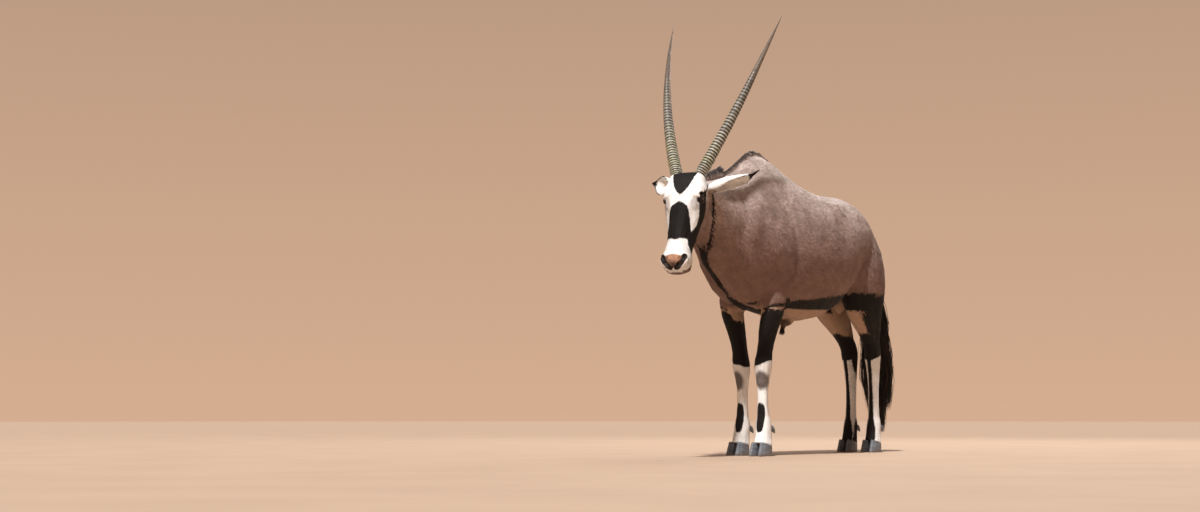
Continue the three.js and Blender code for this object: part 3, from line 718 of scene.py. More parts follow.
skin_points = points_of(skin.data)
near_root = np.zeros(len(skin_points))
for side in EARS:
    reach = np.linalg.norm(to_body(skin_points) - ear_middle(side, EAR_PLUG_SHARE), axis=1)
    near_root = np.maximum(near_root, 1 - fade(reach, 26, 44))
relax(skin.data, near_root, rounds=14)
print("skin with ears:", len(skin.data.vertices), "points")

# %% [markdown]
# Muscles, bones and folds. The solids give the large masses only. Everything smaller is drawn on the fine
# net with soft strokes, as a sculptor would: each stroke is a line of places with a half-width and a height
# at each of them, and it moves the skin outwards, or inwards for a groove.

# %% Soft strokes
NECK_MIDDLE = ((-500, 24), (-446, 18), (-428, 12), (-398, 5), (-345, 1), (-120, 0))
STROKE_REACH = 2.6


def normals_of(mesh):
    flat = np.empty(len(mesh.vertices) * 3)
    mesh.vertex_normals.foreach_get("vector", flat)
    return flat.reshape(-1, 3)


def side_places(body):
    """Body places measured from the neck's own middle, with the right side folded on to the left one."""
    return np.stack((np.abs(body[:, 0] - at(body[:, 1], NECK_MIDDLE)), body[:, 1], body[:, 2]), axis=1)


def leg_places(body):
    """Each point's place on its leg: outwards and backwards from the leg's own line, and 1 for a hind leg."""
    hind = body[:, 1] > 400
    left = body[:, 0] > 0
    across = np.where(hind, 72, 63)
    stand = np.where(hind, np.where(left, 890, 948), np.where(left, -48, -8))
    home = np.where(hind, 880, -20)
    swing = np.where(hind, 900, 720)
    leaned = home + (stand - home) * fade(swing - body[:, 2], 0, 0.75 * swing)
    return np.abs(body[:, 0]) - across, body[:, 1] - leaned, hind


def stroke_height(places, strokes):
    """How far the strokes move each place along its normal, in millimetres."""
    total = np.zeros(len(places))
    for path, halves, heights in strokes:
        path = np.asarray(path, float)
        reach = STROKE_REACH * max(halves)
        inside = np.all((places > path.min(axis=0) - reach) & (places < path.max(axis=0) + reach), axis=1)
        close_by = places[inside]
        near = np.full(len(close_by), 1e9)
        lift = np.zeros(len(close_by))
        for i in range(len(path) - 1):
            step = path[i + 1] - path[i]
            share = np.clip((close_by - path[i]) @ step / (step @ step), 0, 1)
            half = halves[i] + (halves[i + 1] - halves[i]) * share
            away = np.linalg.norm(close_by - path[i] - share[:, None] * step, axis=1) / half
            lift = np.where(away < near, heights[i] + (heights[i + 1] - heights[i]) * share, lift)
            near = np.minimum(near, away)
        total[inside] += lift * np.exp(-(near**2))
    return total


print("a stroke reaches", STROKE_REACH, "times its half-width")

# %% [markdown]
# The strokes of the body are given in millimetres: outwards from the middle, backwards from the withers,
# and up from the ground. Both sides share them. The ribs are drawn by a loop, one stroke each.

# %% Strokes of the body
BODY_STROKES = [
    # The shoulder blade, and the grooves before and behind it.
    (((72, -70, 1100), (112, -170, 960), (128, -225, 820)), (18, 22, 26), (2, 6, 4)),
    (((50, -150, 1100), (88, -245, 990), (112, -275, 860), (100, -300, 760)), (18, 24, 26, 24),
     (-1, -6, -8, -4)),
    (((80, 50, 1090), (140, 20, 980), (165, 20, 880)), (22, 26, 20), (-1, -5, -4)),
    # The upper arm and the grooves round it, the point of the shoulder, the elbow, and the armpit's fold.
    (((150, -110, 880), (165, -70, 800), (150, -60, 720)), (46, 50, 40), (3, 9, 6)),
    (((160, 30, 900), (168, 44, 820), (160, 42, 730), (138, 4, 650)), (9, 10, 10, 10), (-1, -10, -11, -5)),
    (((160, -140, 830), (158, -130, 740), (140, -110, 670)), (7, 8, 8), (0, -4, -2)),
    (((115, -240, 790), (118, -225, 735)), (26, 24), (5, 4)),
    (((128, -10, 655), (122, 0, 630)), (18, 16), (2, 2)),
    (((95, -225, 700), (100, -150, 640)), (12, 12), (-5, -4)),
    # The last rib's edge, the hollow flank, the point of the hip, the loin, and the pin bone.
    (((120, 270, 1030), (195, 320, 880), (190, 260, 720)), (14, 15, 14), (1, 4, 2)),
    (((188, 395, 940), (200, 400, 850)), (46, 44), (-11, -8)),
    (((140, 440, 1020), (150, 455, 990)), (24, 22), (10, 8)),
    (((70, 150, 1120), (100, 330, 1050), (130, 430, 1020)), (20, 20, 18), (1, 4, 5)),
    (((140, 540, 1000), (150, 600, 960)), (38, 38), (-8, -5)),
    (((62, 790, 955), (58, 815, 925)), (22, 20), (7, 6)),
    # The thigh's muscle, the flank's fold before it, and the groove between the muscles behind it.
    (((160, 480, 960), (185, 500, 870), (170, 540, 760), (135, 590, 690)), (24, 26, 24, 20), (3, 8, 7, 3)),
    (((195, 450, 860), (190, 478, 770), (165, 500, 690), (140, 510, 650)), (12, 12, 12, 12),
     (-3, -9, -8, -3)),
    (((150, 690, 930), (150, 720, 840), (135, 760, 740), (110, 800, 660)), (12, 13, 12, 12),
     (-2, -6, -6, -2)),
    # The neck: groove of the vein, windpipe, the long muscle, and the groove under the crest.
    (((60, -425, 900), (75, -370, 820), (85, -310, 740)), (13, 15, 14), (-3, -7, -4)),
    (((15, -420, 860), (12, -370, 770), (10, -310, 700)), (14, 16, 14), (2, 4, 3)),
    (((70, -400, 990), (80, -300, 930), (100, -230, 840)), (22, 24, 22), (2, 5, 2)),
    (((40, -380, 1030), (46, -260, 1060), (52, -150, 1110)), (14, 16, 14), (-2, -4, -2)),
    # The spine, and the fold behind the jaw.
    (((0, 120, 1168), (0, 300, 1105), (0, 480, 1095), (0, 640, 1085)), (12, 12, 14, 14), (2, 3, 3, 2)),
    (((66, -455, 905), (82, -430, 960), (84, -425, 1000)), (6, 7, 6), (-2, -4, -2)),
]
RIBS = 7
FIRST_RIB = 84
RIB_STEP = 33
RIB_OUT = ((40, 166), (160, 178), (230, 190), (360, 206))
for rib in range(RIBS):
    back = FIRST_RIB + RIB_STEP * rib
    wide = at(back, RIB_OUT)
    line = ((0.82 * wide, back + 34, 1000), (wide, back + 44, 870), (0.99 * wide, back + 6, 730))
    BODY_STROKES.append((line, (8, 9, 9), (0.5, 1.7, 0.8)))
print("strokes of the body:", len(BODY_STROKES))

# %% [markdown]
# The strokes of a leg follow its own line: outwards from it, backwards from it, and up from the ground.
# Fore and hind legs have their own lists, and left and right share them. Those of the head are given in its
# own frame: outwards, down from the poll, and forwards as a minus.

# %% Strokes of legs and head
FORE_STROKES = [
    # The cannon's groove, the knee and its creases, and the muscles of the forearm.
    (((19, 8, 262), (18, 8, 190), (19, 9, 122)), (5, 5, 5), (-2.4, -3.0, -2.2)),
    (((12, -26, 322), (12, -24, 288)), (11, 10), (2.4, 2.0)),
    (((0, -27, 348), (12, -24, 345)), (8, 8), (-1.6, -1.2)),
    (((0, -24, 270), (12, -20, 268)), (7, 7), (-1.6, -1.2)),
    (((29, 5, 560), (27, 4, 460), (24, 4, 375)), (9, 8, 7), (-3.0, -3.6, -2.0)),
    (((22, -28, 590), (18, -26, 480)), (17, 14), (5, 3)),
    # The bone behind the knee, and the fetlock.
    (((0, 29, 328), (0, 28, 302)), (11, 10), (4, 3)),
    (((11, 26, 108), (11, 26, 94)), (7, 7), (3, 2)),
    (((20, -6, 108), (20, -6, 100)), (12, 12), (1.5, 1.5)),
]
HIND_STROKES = [
    # The cannon's groove, the hollow before the tendon, and the hock.
    (((20, 9, 380), (19, 8, 250), (19, 9, 130)), (5.5, 5, 5), (-2.6, -3.0, -2.4)),
    (((25, 24, 540), (27, 22, 470)), (13, 11), (-7, -6)),
    (((24, -6, 425), (22, -4, 398)), (13, 12), (3.2, 2.2)),
    (((0, 58, 475), (0, 50, 440)), (12, 12), (4, 3)),
    # The muscle above the hock, the hock's crease, and the fetlock.
    (((28, -40, 600), (28, -20, 530)), (24, 20), (4, 2)),
    (((0, -46, 405), (12, -40, 400)), (9, 9), (-2.0, -1.4)),
    (((11, 26, 108), (11, 26, 94)), (7, 7), (3, 2)),
]
HEAD_STROKES = [
    # The brow, and each lid with its crease.
    (((50, -50, -62), (70, -40, -64), (82, -14, -74)), (9, 9, 9), (3, 4.5, 3)),
    (((59, -47, -96), (65, -34, -80), (73, -15, -77), (79, 0, -92)), (2.8, 3.0, 3.0, 2.8),
     (-1.4, -2.6, -2.4, -1.4)),
    (((60, -43, -97), (65, -30, -84), (70, -13, -83), (76, -3, -95)), (2.2, 2.4, 2.4, 2.2),
     (0.8, 1.6, 1.6, 0.8)),
    (((57, -47, -108), (61, -46, -116), (68, -33, -129), (76, -14, -128), (80, 4, -114)),
     (3, 3.4, 3.4, 3.4, 3),
     (-1.4, -2.0, -2.4, -2.0, -1.0)),
    (((60, -42, -115), (67, -29, -124), (74, -12, -123), (78, 0, -112)), (2.3, 2.4, 2.4, 2.3),
     (0.8, 1.4, 1.4, 0.8)),
    # The tear groove, the ridge under the eye, the cheek, and the edges of the jaw.
    (((53, -50, -116), (51, -49, -138), (47, -45, -165)), (4.6, 5, 5), (-2.6, -3.4, -1)),
    (((72, -14, -138), (66, -4, -172), (60, 2, -212)), (9, 8, 8), (2, 3.4, 1.6)),
    (((66, 30, -110), (64, 34, -150)), (32, 28), (4.5, 3.5)),
    (((60, 36, -196), (67, 14, -178)), (7, 7), (-3.0, -1.6)),
    (((50, 34, -232), (46, 28, -284)), (7, 7), (-3, -2.5)),
    # The root of the ear, the ridges of the nose, the hollow beside them, and the forehead.
    (((76, 18, -72), (72, 32, -52)), (13, 12), (-4.5, -3.5)),
    (((34, -52, -130), (27, -50, -180), (22, -46, -240), (19, -44, -290)), (6, 6, 6, 6),
     (1.6, 2.4, 2.2, 1)),
    (((50, -34, -165), (44, -28, -220), (40, -24, -270)), (11, 11, 10), (-3.0, -3.4, -2)),
    (((0, -58, -60), (0, -59, -112)), (15, 15), (-1.6, -2.2)),
    (((36, -34, -16), (36, -42, -34)), (20, 18), (3.5, 2.5)),
    # Veins on the cheek.
    (((60, -14, -178), (53, -20, -216), (44, -24, -258)), (2.2, 2.2, 2.2), (1.2, 1.4, 0.8)),
    (((64, 8, -150), (58, 10, -200), (50, 14, -246)), (2.2, 2.2, 2.2), (1.0, 1.2, 0.6)),
    # The muzzle: its sides, the groove of the lip, the lower lip, and the wings of the nostril.
    (((38, -30, -370), (47, -8, -368)), (13, 12), (4, 3)),
    (((0, -34, -384), (0, -22, -397)), (2.8, 3.0), (-2.4, -3.2)),
    (((20, 2, -400), (42, 26, -378)), (8, 8), (2.4, 2.0)),
    (((0, 12, -398), (0, 26, -384)), (13, 12), (4, 3)),
    (((14, -44, -366), (26, -46, -350), (40, -42, -340), (51, -32, -344)), (5, 6, 6, 5),
     (2.0, 3.6, 3.4, 2.4)),
    (((24, -22, -397), (42, -22, -380), (51, -26, -362)), (4, 5, 5), (2.0, 3.0, 2.4)),
    # The nostril and the mouth.
    (NOSTRIL, (4.0, 7.0, 7.5, 5.5), (-3.5, -10.0, -11.0, -5.0)),
    (MOUTH, (2.2, 2.4, 2.4, 2.2, 2.0), (-2.2, -3.0, -2.6, -1.8, -0.8)),
]
print("strokes of legs and head:", len(FORE_STROKES) + len(HIND_STROKES), "and", len(HEAD_STROKES))

# %% [markdown]
# All strokes move the skin in one go, along its normals. A soft edge at the throat and the elbow keeps each
# list to its own region, and two gentle rounds of smoothing take away what is too sharp for skin.

# %% Shape muscles, bones and folds
BODY_STRENGTH = 1.35

skin_points = points_of(skin.data)
body = to_body(skin_points)
out, behind, hind = leg_places(body)
limb_out = np.abs(out + np.where(hind, 4, 6))
limb_places = np.stack((limb_out, behind - np.where(hind, 2, 0), body[:, 2]), axis=1)
fore_lift = stroke_height(limb_places, FORE_STROKES)
hind_lift = stroke_height(limb_places, HIND_STROKES)
head_lift = stroke_height(folded(skin_points), HEAD_STROKES)
moved = BODY_STRENGTH * stroke_height(side_places(body), BODY_STROKES) * bodily(skin_points)
moved += np.where(hind, hind_lift, fore_lift) * (1 - fade(body[:, 2], 600, 640))
moved += head_lift * (1 - bodily(skin_points)) * fade(body[:, 2], 540, 600)
place_points(skin.data, skin_points + normals_of(skin.data) * moved[:, None] / 1000)
relax(skin.data, 0.6, rounds=2)
print("skin moved by", round(float(moved.min()), 1), "to", round(float(moved.max()), 1), "mm")

# %% [markdown]
# The coat has a depth. The skin is drawn in by that depth, thin on face and legs and thicker on the body, so
# that the tips of the hair end where the solids end.

# %% Draw the skin in
EAR_BOX = 45
EAR_COAT_DEPTH = 0.3


def ear_place(points, side):
    """How far along the ear, as a share, and across it and into its cup, in millimetres, each point lies."""
    root, along, across, facing = ear_frame(side)
    share = (to_body(points) - root) @ along / EAR_LENGTH
    offset = to_body(points) - ear_middle(side, np.clip(share, 0, 1))
    return share, offset @ across, offset @ facing


def ear_share(points):
    """0 off the ears, 1 well out on them."""
    best = np.zeros(len(points))
    for side in EARS:
        share, across, cup = ear_place(points, side)
        near = (np.abs(across) < EAR_BOX) & (np.abs(cup) < EAR_BOX) & (share < 1.1)
        best = np.maximum(best, fade(share, 0.06, 0.16) * near)
    return best


def coat_depth(points):
    """The thickness of the lying coat, in millimetres."""
    body = to_body(points)
    depth = 2.2 + 1.8 * fade(body[:, 2], 480, 640)
    depth = depth * bodily(points) + 1.6 * (1 - bodily(points))
    depth = np.where(body[:, 2] < 560, 1.8 * fade(body[:, 2], 44, 80), depth)
    return depth * (1 - ear_share(points)) + EAR_COAT_DEPTH * ear_share(points)


skin_points = points_of(skin.data)
depth = coat_depth(skin_points)
place_points(skin.data, skin_points - normals_of(skin.data) * depth[:, None] / 1000)
print("coat from", round(float(depth.min()), 1), "to", round(float(depth.max()), 1), "mm deep")

# %% [markdown]
# The net is far finer than most of the skin needs. Decimate makes it lighter, and leaves most faces on head
# and ears, where small folds must show. At last the few points where faces don't meet in pairs are cut out
# and their small holes are closed.

# %% Lighten and mend the net
SKIN_FACES = 192_000


def lighten(thing, faces, coarse):
    """Collapse small faces until about this many triangles are left, first where `coarse` is high."""
    edit(thing, bpy.ops.mesh.quads_convert_to_tris)
    group = vertex_group(thing, "coarse", coarse)
    share = min(1.0, faces / len(thing.data.polygons))
    apply_modifier(thing, "DECIMATE", ratio=share, vertex_group=group, vertex_group_factor=1.0)


def mend():
    bpy.ops.mesh.dissolve_degenerate(threshold=1e-6)
    bpy.ops.mesh.delete_loose()
    bpy.ops.mesh.select_all(action="DESELECT")
    bpy.ops.mesh.select_non_manifold()
    bpy.ops.mesh.delete(type="VERT")
    bpy.ops.mesh.select_all(action="SELECT")
    bpy.ops.mesh.fill_holes(sides=0)
    bpy.ops.mesh.quads_convert_to_tris()
    bpy.ops.mesh.select_all(action="SELECT")
    bpy.ops.mesh.normals_make_consistent(inside=False)


skin_points = points_of(skin.data)
calm = bodily(skin_points) * 0.8 + 0.2 * (1 - on_head(skin_points))
calm = np.where(to_body(skin_points)[:, 2] < 560, 0.7, calm)
calm *= 1 - ear_share(skin_points)
lighten(skin, SKIN_FACES, np.clip(calm, 0.05, 1))
edit(skin, mend)
only(skin)
bpy.ops.object.shade_smooth()
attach(skin, "root")
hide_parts(*FLESH, "ear_left", "ear_right")
print("skin:", len(skin.data.polygons), "triangles")

# %% [markdown]
# The horns. A gemsbok's horn is a long, nearly straight cone. Its lower part wears thirty-eight close
# rings, and its last two fifths are smooth. The rings follow the curve of the solid, each a small step with
# a rounded crest. The tube keeps two numbers for the finish: how far each place stands out, and how far
# along the horn it lies.

# %% Horns
HORN_LENGTH = 865
HORN_RADIUS = 22.5
HORN_ROOT = (34, -10, -32)
HORN_RINGS = 38
HORN_RINGED = 0.6
HORN_SIDES = 40
HORN_BACK = ((0, 3), (0.25, 7), (0.6, 11.5), (1, 18))
HORN_SPREAD = ((0, 21), (0.3, 16), (0.6, 11), (1, 6.5))
RING_PROFILE = ((0.0, -0.6), (0.16, -0.45), (0.34, 0.25), (0.5, 0.85), (0.62, 1.0), (0.76, 0.8), (0.9, 0.1))


def number_layer(thing, name, values):
    """Keep a number at each point of a mesh, for its finish to read."""
    layer = thing.data.attributes.new(name, "FLOAT", "POINT")
    layer.data.foreach_set("value", np.ascontiguousarray(values, dtype=np.float32))


def horn_path(side, count=240):
    """The horn's middle line, in the head's frame. `side` is 1 for the left horn and -1 for the right one."""
    share = (np.arange(count) + 0.5) / count
    back = np.radians(at(share, HORN_BACK))
    spread = np.radians(at(share, HORN_SPREAD))
    steps = unit(np.stack((side * np.tan(spread), np.sin(back), np.cos(back)), axis=1))
    root = (side * HORN_ROOT[0], HORN_ROOT[1], HORN_ROOT[2])
    return np.cumsum(np.vstack((root, steps * (HORN_LENGTH / count))), axis=0)


def horn_rings(side):
    """How far along the horn each ring of points lies, and how far it stands out of the plain cone."""
    luck = np.random.default_rng(11 + side)
    starts = 0.022 + HORN_RINGED * (np.arange(HORN_RINGS + 1) / HORN_RINGS) ** 1.22
    shares = [0.0, 0.012]
    swells = [-0.6, -0.4]
    for ring in range(HORN_RINGS):
        pitch = starts[ring + 1] - starts[ring]
        height = (2.0 * (1 - ring / HORN_RINGS) ** 0.6 + 0.35) * luck.uniform(0.65, 1.2)
        for step, lift in RING_PROFILE:
            shares.append(starts[ring] + step * pitch)
            swells.append(lift * height)
    for share in np.linspace(HORN_RINGED + 0.04, 0.998, 40):
        shares.append(float(share))
        swells.append(0.12 * math.sin(share * 90))
    return np.array(shares), np.array(swells)


def horn(name, side):
    path = horn_path(side)
    shares, swells = horn_rings(side)
    centres = places_on(path, np.arange(len(path)), shares * (len(path) - 1))
    cone = HORN_RADIUS * (1 - shares**1.35) ** 0.9
    radius = np.maximum(cone + swells, 0.6)
    radii = np.stack((radius * 0.95, radius * 1.06), axis=1)
    phases = np.random.default_rng(5 + side).uniform(0, 6.28, 60)
    phase = phases[(np.arange(len(shares)) + 5) // len(RING_PROFILE)]
    slant = np.where(swells > 0.2, 0.016, 0.0)

    def uneven(row, turn):
        """Each ring is a little out of round and leans its own way."""
        rough = 0.008 * np.sin(3 * turn + phase[row] * 0.3) + 0.006 * np.sin(7 * turn + phase[row])
        return 1 + (rough + slant[row] * np.sin(turn + phase[row])) * (1 - shares[row])

    thing, row, close = tube(name, head_to_world(centres), radii / 1000, (0, 1, 0), HORN_SIDES, uneven)
    number_layer(thing, "ring", np.clip(swells[row] / 1.6, -1, 1))
    number_layer(thing, "along", shares[row])
    edit(thing, close)
    bpy.ops.object.shade_smooth()
    return thing


horns = []
for node, side in (("horn_left", 1), ("horn_right", -1)):
    piece = horn(f"{node}_keratin", side)
    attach(piece, "root")
    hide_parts(node)
    horns.append(piece)
    print(node, len(piece.data.polygons), "faces")

# %% [markdown]
# Hooves and dewclaws. Each foot has two long pointed hooves, and two small dewclaws behind. Each is a copy
# of its solid with finer faces, smoothed everywhere but at its lowest face, and a hoof's sole is set flat
# on the floor again.

# %% Hooves and dewclaws
SOLE_DEPTH = 0.0006


def rounded_copy(node, name, cuts, rounds, flat_sole):
    piece = copy_of([node], name)
    edit(piece, bpy.ops.mesh.tris_convert_to_quads)
    apply_modifier(piece, "SUBSURF", subdivision_type="SIMPLE", levels=cuts, render_levels=cuts)
    points = points_of(piece.data)
    sole_level = points[:, 2].min()
    on_sole = points[:, 2] < sole_level + SOLE_DEPTH
    relax(piece.data, np.where(on_sole, 0.0, 1.0), rounds, push=0.48)
    if flat_sole:
        points = points_of(piece.data)
        points[on_sole, 2] = sole_level
        place_points(piece.data, points)
    only(piece)
    bpy.ops.object.shade_smooth()
    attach(piece, "root")
    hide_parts(node)
    return piece


hooves = []
for leg in LEGS:
    for place in ("outer", "inner"):
        hoof, dewclaw = f"{leg}_hoof_{place}", f"{leg}_dewclaw_{place}"
        hooves.append(rounded_copy(hoof, f"{hoof}_wall", cuts=3, rounds=14, flat_sole=True))
        hooves.append(rounded_copy(dewclaw, f"{dewclaw}_horn", cuts=2, rounds=4, flat_sole=False))
print("hooves and dewclaws:", len(hooves))

# %% [markdown]
# The eyes. They are dark and wet, and sit under the lids with a sliver of air all round. A sphere is turned
# so that its pole looks out of the head, and the cap round the pole is pushed out a little. Each point also
# remembers where it lies on the eye, for the iris and the flat pupil.

# %% Eyes
EYE_RADIUS = 20.0
EYE_UNDER_LIDS = 0.985
CORNEA_BULGE = 0.035


def eyeball(name, side):
    bpy.ops.object.select_all(action="DESELECT")
    bpy.ops.mesh.primitive_uv_sphere_add(segments=64, ring_count=48, radius=1)
    thing = bpy.context.object
    thing.name = name
    ball = points_of(thing.data)
    out = unit((side * 0.93, -0.36, 0.06))
    level = unit(np.cross(out, (side * 0.12, 0.35, 1.0)))
    rise = np.cross(level, out)
    radius = EYE_RADIUS * EYE_UNDER_LIDS * (1 + CORNEA_BULGE * np.exp(-((1 - ball[:, 2]) / 0.16) ** 2))
    place = (-ball[:, :1] * level + ball[:, 1:2] * rise + ball[:, 2:] * out) * radius[:, None]
    centre = np.array((side * EYE_PLACE[0], EYE_PLACE[1], EYE_PLACE[2]), float)
    place_points(thing.data, head_to_world(place + centre))
    for axis, layer in enumerate(("eye_across", "eye_rise", "eye_front")):
        number_layer(thing, layer, ball[:, axis])
    only(thing)
    bpy.ops.object.shade_smooth()
    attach(thing, "root")
    return thing


eyes = []
for node, side in (("eye_left", 1), ("eye_right", -1)):
    eyes.append(eyeball(f"{node}_globe", side))
    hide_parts(node)
print("eyes:", [len(thing.data.polygons) for thing in eyes])

# %% [markdown]
# Hair. Every tuft and strand is a real, closed sliver of mesh: a point at the root, one or more thin
# three-cornered rings, and a point at the tip. One helper builds thousands of them at once from arrays of
# paths and widths, and gives each its own small patch in the map OFBake.

# %% Slivers of hair
PATCH = 0.003
RING_TURNS = np.radians((90, 210, 330))


def sliver_faces(inner):
    """The triangles of one sliver: its root is point 0, then come its rings, and last its tip."""
    tip = 1 + 3 * inner
    faces = [(0, 1 + (i + 1) % 3, 1 + i) for i in range(3)]
    for step in range(inner - 1):
        base = 1 + step * 3
        for i in range(3):
            a, b = base + i, base + (i + 1) % 3
            faces += [(a, b, b + 3), (a, b + 3, a + 3)]
    faces += [(tip - 3 + i, tip - 3 + (i + 1) % 3, tip) for i in range(3)]
    return np.array(faces)[:, ::-1]


def sliver_spots(inner):
    """Where each point of a sliver lies in its patch of the map, from -0.5 to 0.5 both ways."""
    spots = [(-0.5, 0)]
    for step in range(inner):
        for i in range(3):
            spots.append(((step + 1) / (inner + 1) - 0.5, (i - 1) * 0.35))
    spots.append((0.5, 0))
    return np.array(spots)


def sliver_points(paths, widths, flat, thin):
    """The points of every sliver, with its rings spread across `flat` and `thin` times as thick as wide."""
    count, rings, _ = paths.shape
    axis = unit(np.gradient(paths, axis=1))[:, 1:-1]
    across = unit(np.cross(axis, flat[:, None, :]))
    up = np.cross(across, axis)
    ring = paths[:, 1:-1, None, :] + widths[:, :, None, None] * (
        np.cos(RING_TURNS)[None, None, :, None] * across[:, :, None, :]
        + thin * np.sin(RING_TURNS)[None, None, :, None] * up[:, :, None, :]
    )
    return np.concatenate((paths[:, :1], ring.reshape(count, (rings - 2) * 3, 3), paths[:, -1:]), axis=1)


def slivers(name, paths, widths, flat, map_place, layers=None, thin=0.4, shade_like=None):
    """Closed slivers along `paths` (count, rings, 3), in metres, with a half-width at each inner ring.

    `shade_like` gives each sliver one normal, so that lying hair takes the light like the skin below it.
    """
    points = sliver_points(paths, widths, flat, thin)
    count, size, _ = points.shape
    inner = paths.shape[1] - 2
    faces = sliver_faces(inner)
    spots = sliver_spots(inner)
    corners = (faces[None] + np.arange(count)[:, None, None] * size).reshape(-1)
    total = len(corners) // 3
    mesh = bpy.data.meshes.new(name)
    mesh.vertices.add(count * size)
    mesh.vertices.foreach_set("co", points.reshape(-1))
    mesh.loops.add(len(corners))
    mesh.loops.foreach_set("vertex_index", corners.astype(np.int32))
    mesh.polygons.add(total)
    mesh.polygons.foreach_set("loop_start", np.arange(total, dtype=np.int32) * 3)
    mesh.polygons.foreach_set("use_smooth", np.ones(total, dtype=bool))
    mesh.update(calc_edges=True)
    where = map_place[:, None, :] * (1 - 2 * PATCH) + PATCH + spots[None] * PATCH
    mesh.uv_layers.new(name="OFBake").data.foreach_set("uv", where.reshape(-1, 2)[corners].reshape(-1))
    if shade_like is not None:
        mesh.normals_split_custom_set_from_vertices(np.repeat(shade_like, size, axis=0).tolist())
    thing = bpy.data.objects.new(name, mesh)
    bpy.context.scene.collection.objects.link(thing)
    for key, values in (layers or {}).items():
        number_layer(thing, key, np.repeat(values, size))
    number_layer(thing, "along", np.tile(spots[:, 0] + 0.5, count))
    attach(thing, "root")
    return thing


print("a sliver with one ring has", len(sliver_faces(1)), "faces, one with three has", len(sliver_faces(3)))

# %% [markdown]
# The tassel of the tail. Long black hair grows all round the lower half of the dock and hangs almost to the
# ground. It gathers in locks: strands that start near each other share one lock's path and come together at
# its tip.

# %% Locks of the tassel
TASSEL_AXIS = np.array((22, 1054, 0), float)
TASSEL_STRANDS = 3400
TASSEL_LOCKS = 46
TAIL_END = 75
SHORT_LOCK_END = 420
LOCK_TURN_STEP = 2.4

luck = np.random.default_rng(31)
lock = luck.integers(0, TASSEL_LOCKS, TASSEL_STRANDS)
lock_root = np.sort(luck.uniform(0.46, 1.0, TASSEL_LOCKS))
lock_turn = (np.arange(TASSEL_LOCKS) * LOCK_TURN_STEP) % (2 * math.pi)
low = fade(lock_root, 0.5, 1.0)
lock_drop = (SHORT_LOCK_END - TAIL_END) * low**0.8
lock_end = SHORT_LOCK_END - lock_drop * luck.uniform(0.72, 1.0, TASSEL_LOCKS)
lock_end[-3:] = TAIL_END + np.array((34, 12, 2))
lock_out = luck.uniform(0.3, 1.0, TASSEL_LOCKS) * (58 + 20 * np.sin(low * 3.1))
turn = lock_turn[lock] + luck.normal(0, 0.35, TASSEL_STRANDS)
away = np.stack((np.cos(turn), 0.7 * np.sin(turn), np.zeros_like(turn)), axis=1)
start = along_dock(np.clip(lock_root[lock] + luck.normal(0, 0.02, TASSEL_STRANDS), 0.45, 1.0))
bottom = lock_end[lock] + np.abs(luck.normal(0, 26, TASSEL_STRANDS))
print("locks:", TASSEL_LOCKS, "with ends down to", round(float(lock_end.min())), "mm")

# %% [markdown]
# A strand leaves the dock sideways, falls in a long shallow bow, and draws in again at its end. Five places
# on the way down give the bow: each has its share of the fall, its reach outwards and how loosely the
# strands pass it.

# %% Tassel of the tail
FALL = ((0.08, 0.24, 2.5), (0.3, 0.72, 6), (0.62, 0.95, 8), (0.85, 0.82, 5), (1.0, 0.68, 4.5))
TASSEL_TAPER = np.array((0.75, 1, 1, 0.95, 0.85, 0.7, 0.45))


def hanging(share, reach, loose):
    """A place on every strand, at a share of its fall."""
    place = start + (TASSEL_AXIS - start) * share**0.7
    place[:, 2] = start[:, 2] + (bottom - start[:, 2]) * share
    place += away * (reach * lock_out[lock])[:, None]
    return place + luck.normal(0, loose, place.shape) * (1, 0.8, 0.3)


knots = np.stack([start - away * 2] + [hanging(*stage) for stage in FALL], axis=1)
paths = smooth_path(knots, len(TASSEL_TAPER) + 2)
paths[:, :, 2] = np.maximum(paths[:, :, 2], TAIL_END)
widths = luck.uniform(1.5, 2.9, TASSEL_STRANDS)[:, None] * TASSEL_TAPER
spot = np.stack(((turn / (2 * math.pi)) % 1, fade(start[:, 2], 500, 720)), axis=1)
layers = {"tone": luck.uniform(0, 1, TASSEL_STRANDS)}
layers["rusty"] = fade(luck.uniform(0, 1, TASSEL_STRANDS), 0.8, 1)
tassel = slivers("tail_hair", to_world(paths), widths / 1000, away, spot, layers)
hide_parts("tail_tassel")
print("tassel:", len(tassel.data.polygons), "triangles, lowest", round(float(paths[..., 2].min())), "mm")

# %% [markdown]
# The mane. From between the ears to behind the withers stands a narrow, short crest of stiff dark hair,
# which leans back a little and parts in ragged clumps. It is tallest just behind the horns.

# %% Mane
CREST = np.array(
    (
        (0, 225, 1117), (0, 150, 1150), (0, 70, 1190), (0, 5, 1200), (0, -60, 1189),
        (1, -135, 1146), (4, -250, 1085), (12, -390, 1050), (24, -500, 1036),
    ),
    float,
)
MANE_HEIGHT = (
    (0, 4), (0.2, 8), (0.34, 16), (0.6, 20), (0.74, 24),
    (0.765, 34), (0.79, 66), (0.83, 70), (0.87, 50), (1, 34),
)
MANE_STRANDS = 5200
MANE_CLUMPS = 90
MANE_TAPER = np.array((1, 0.9, 0.6))

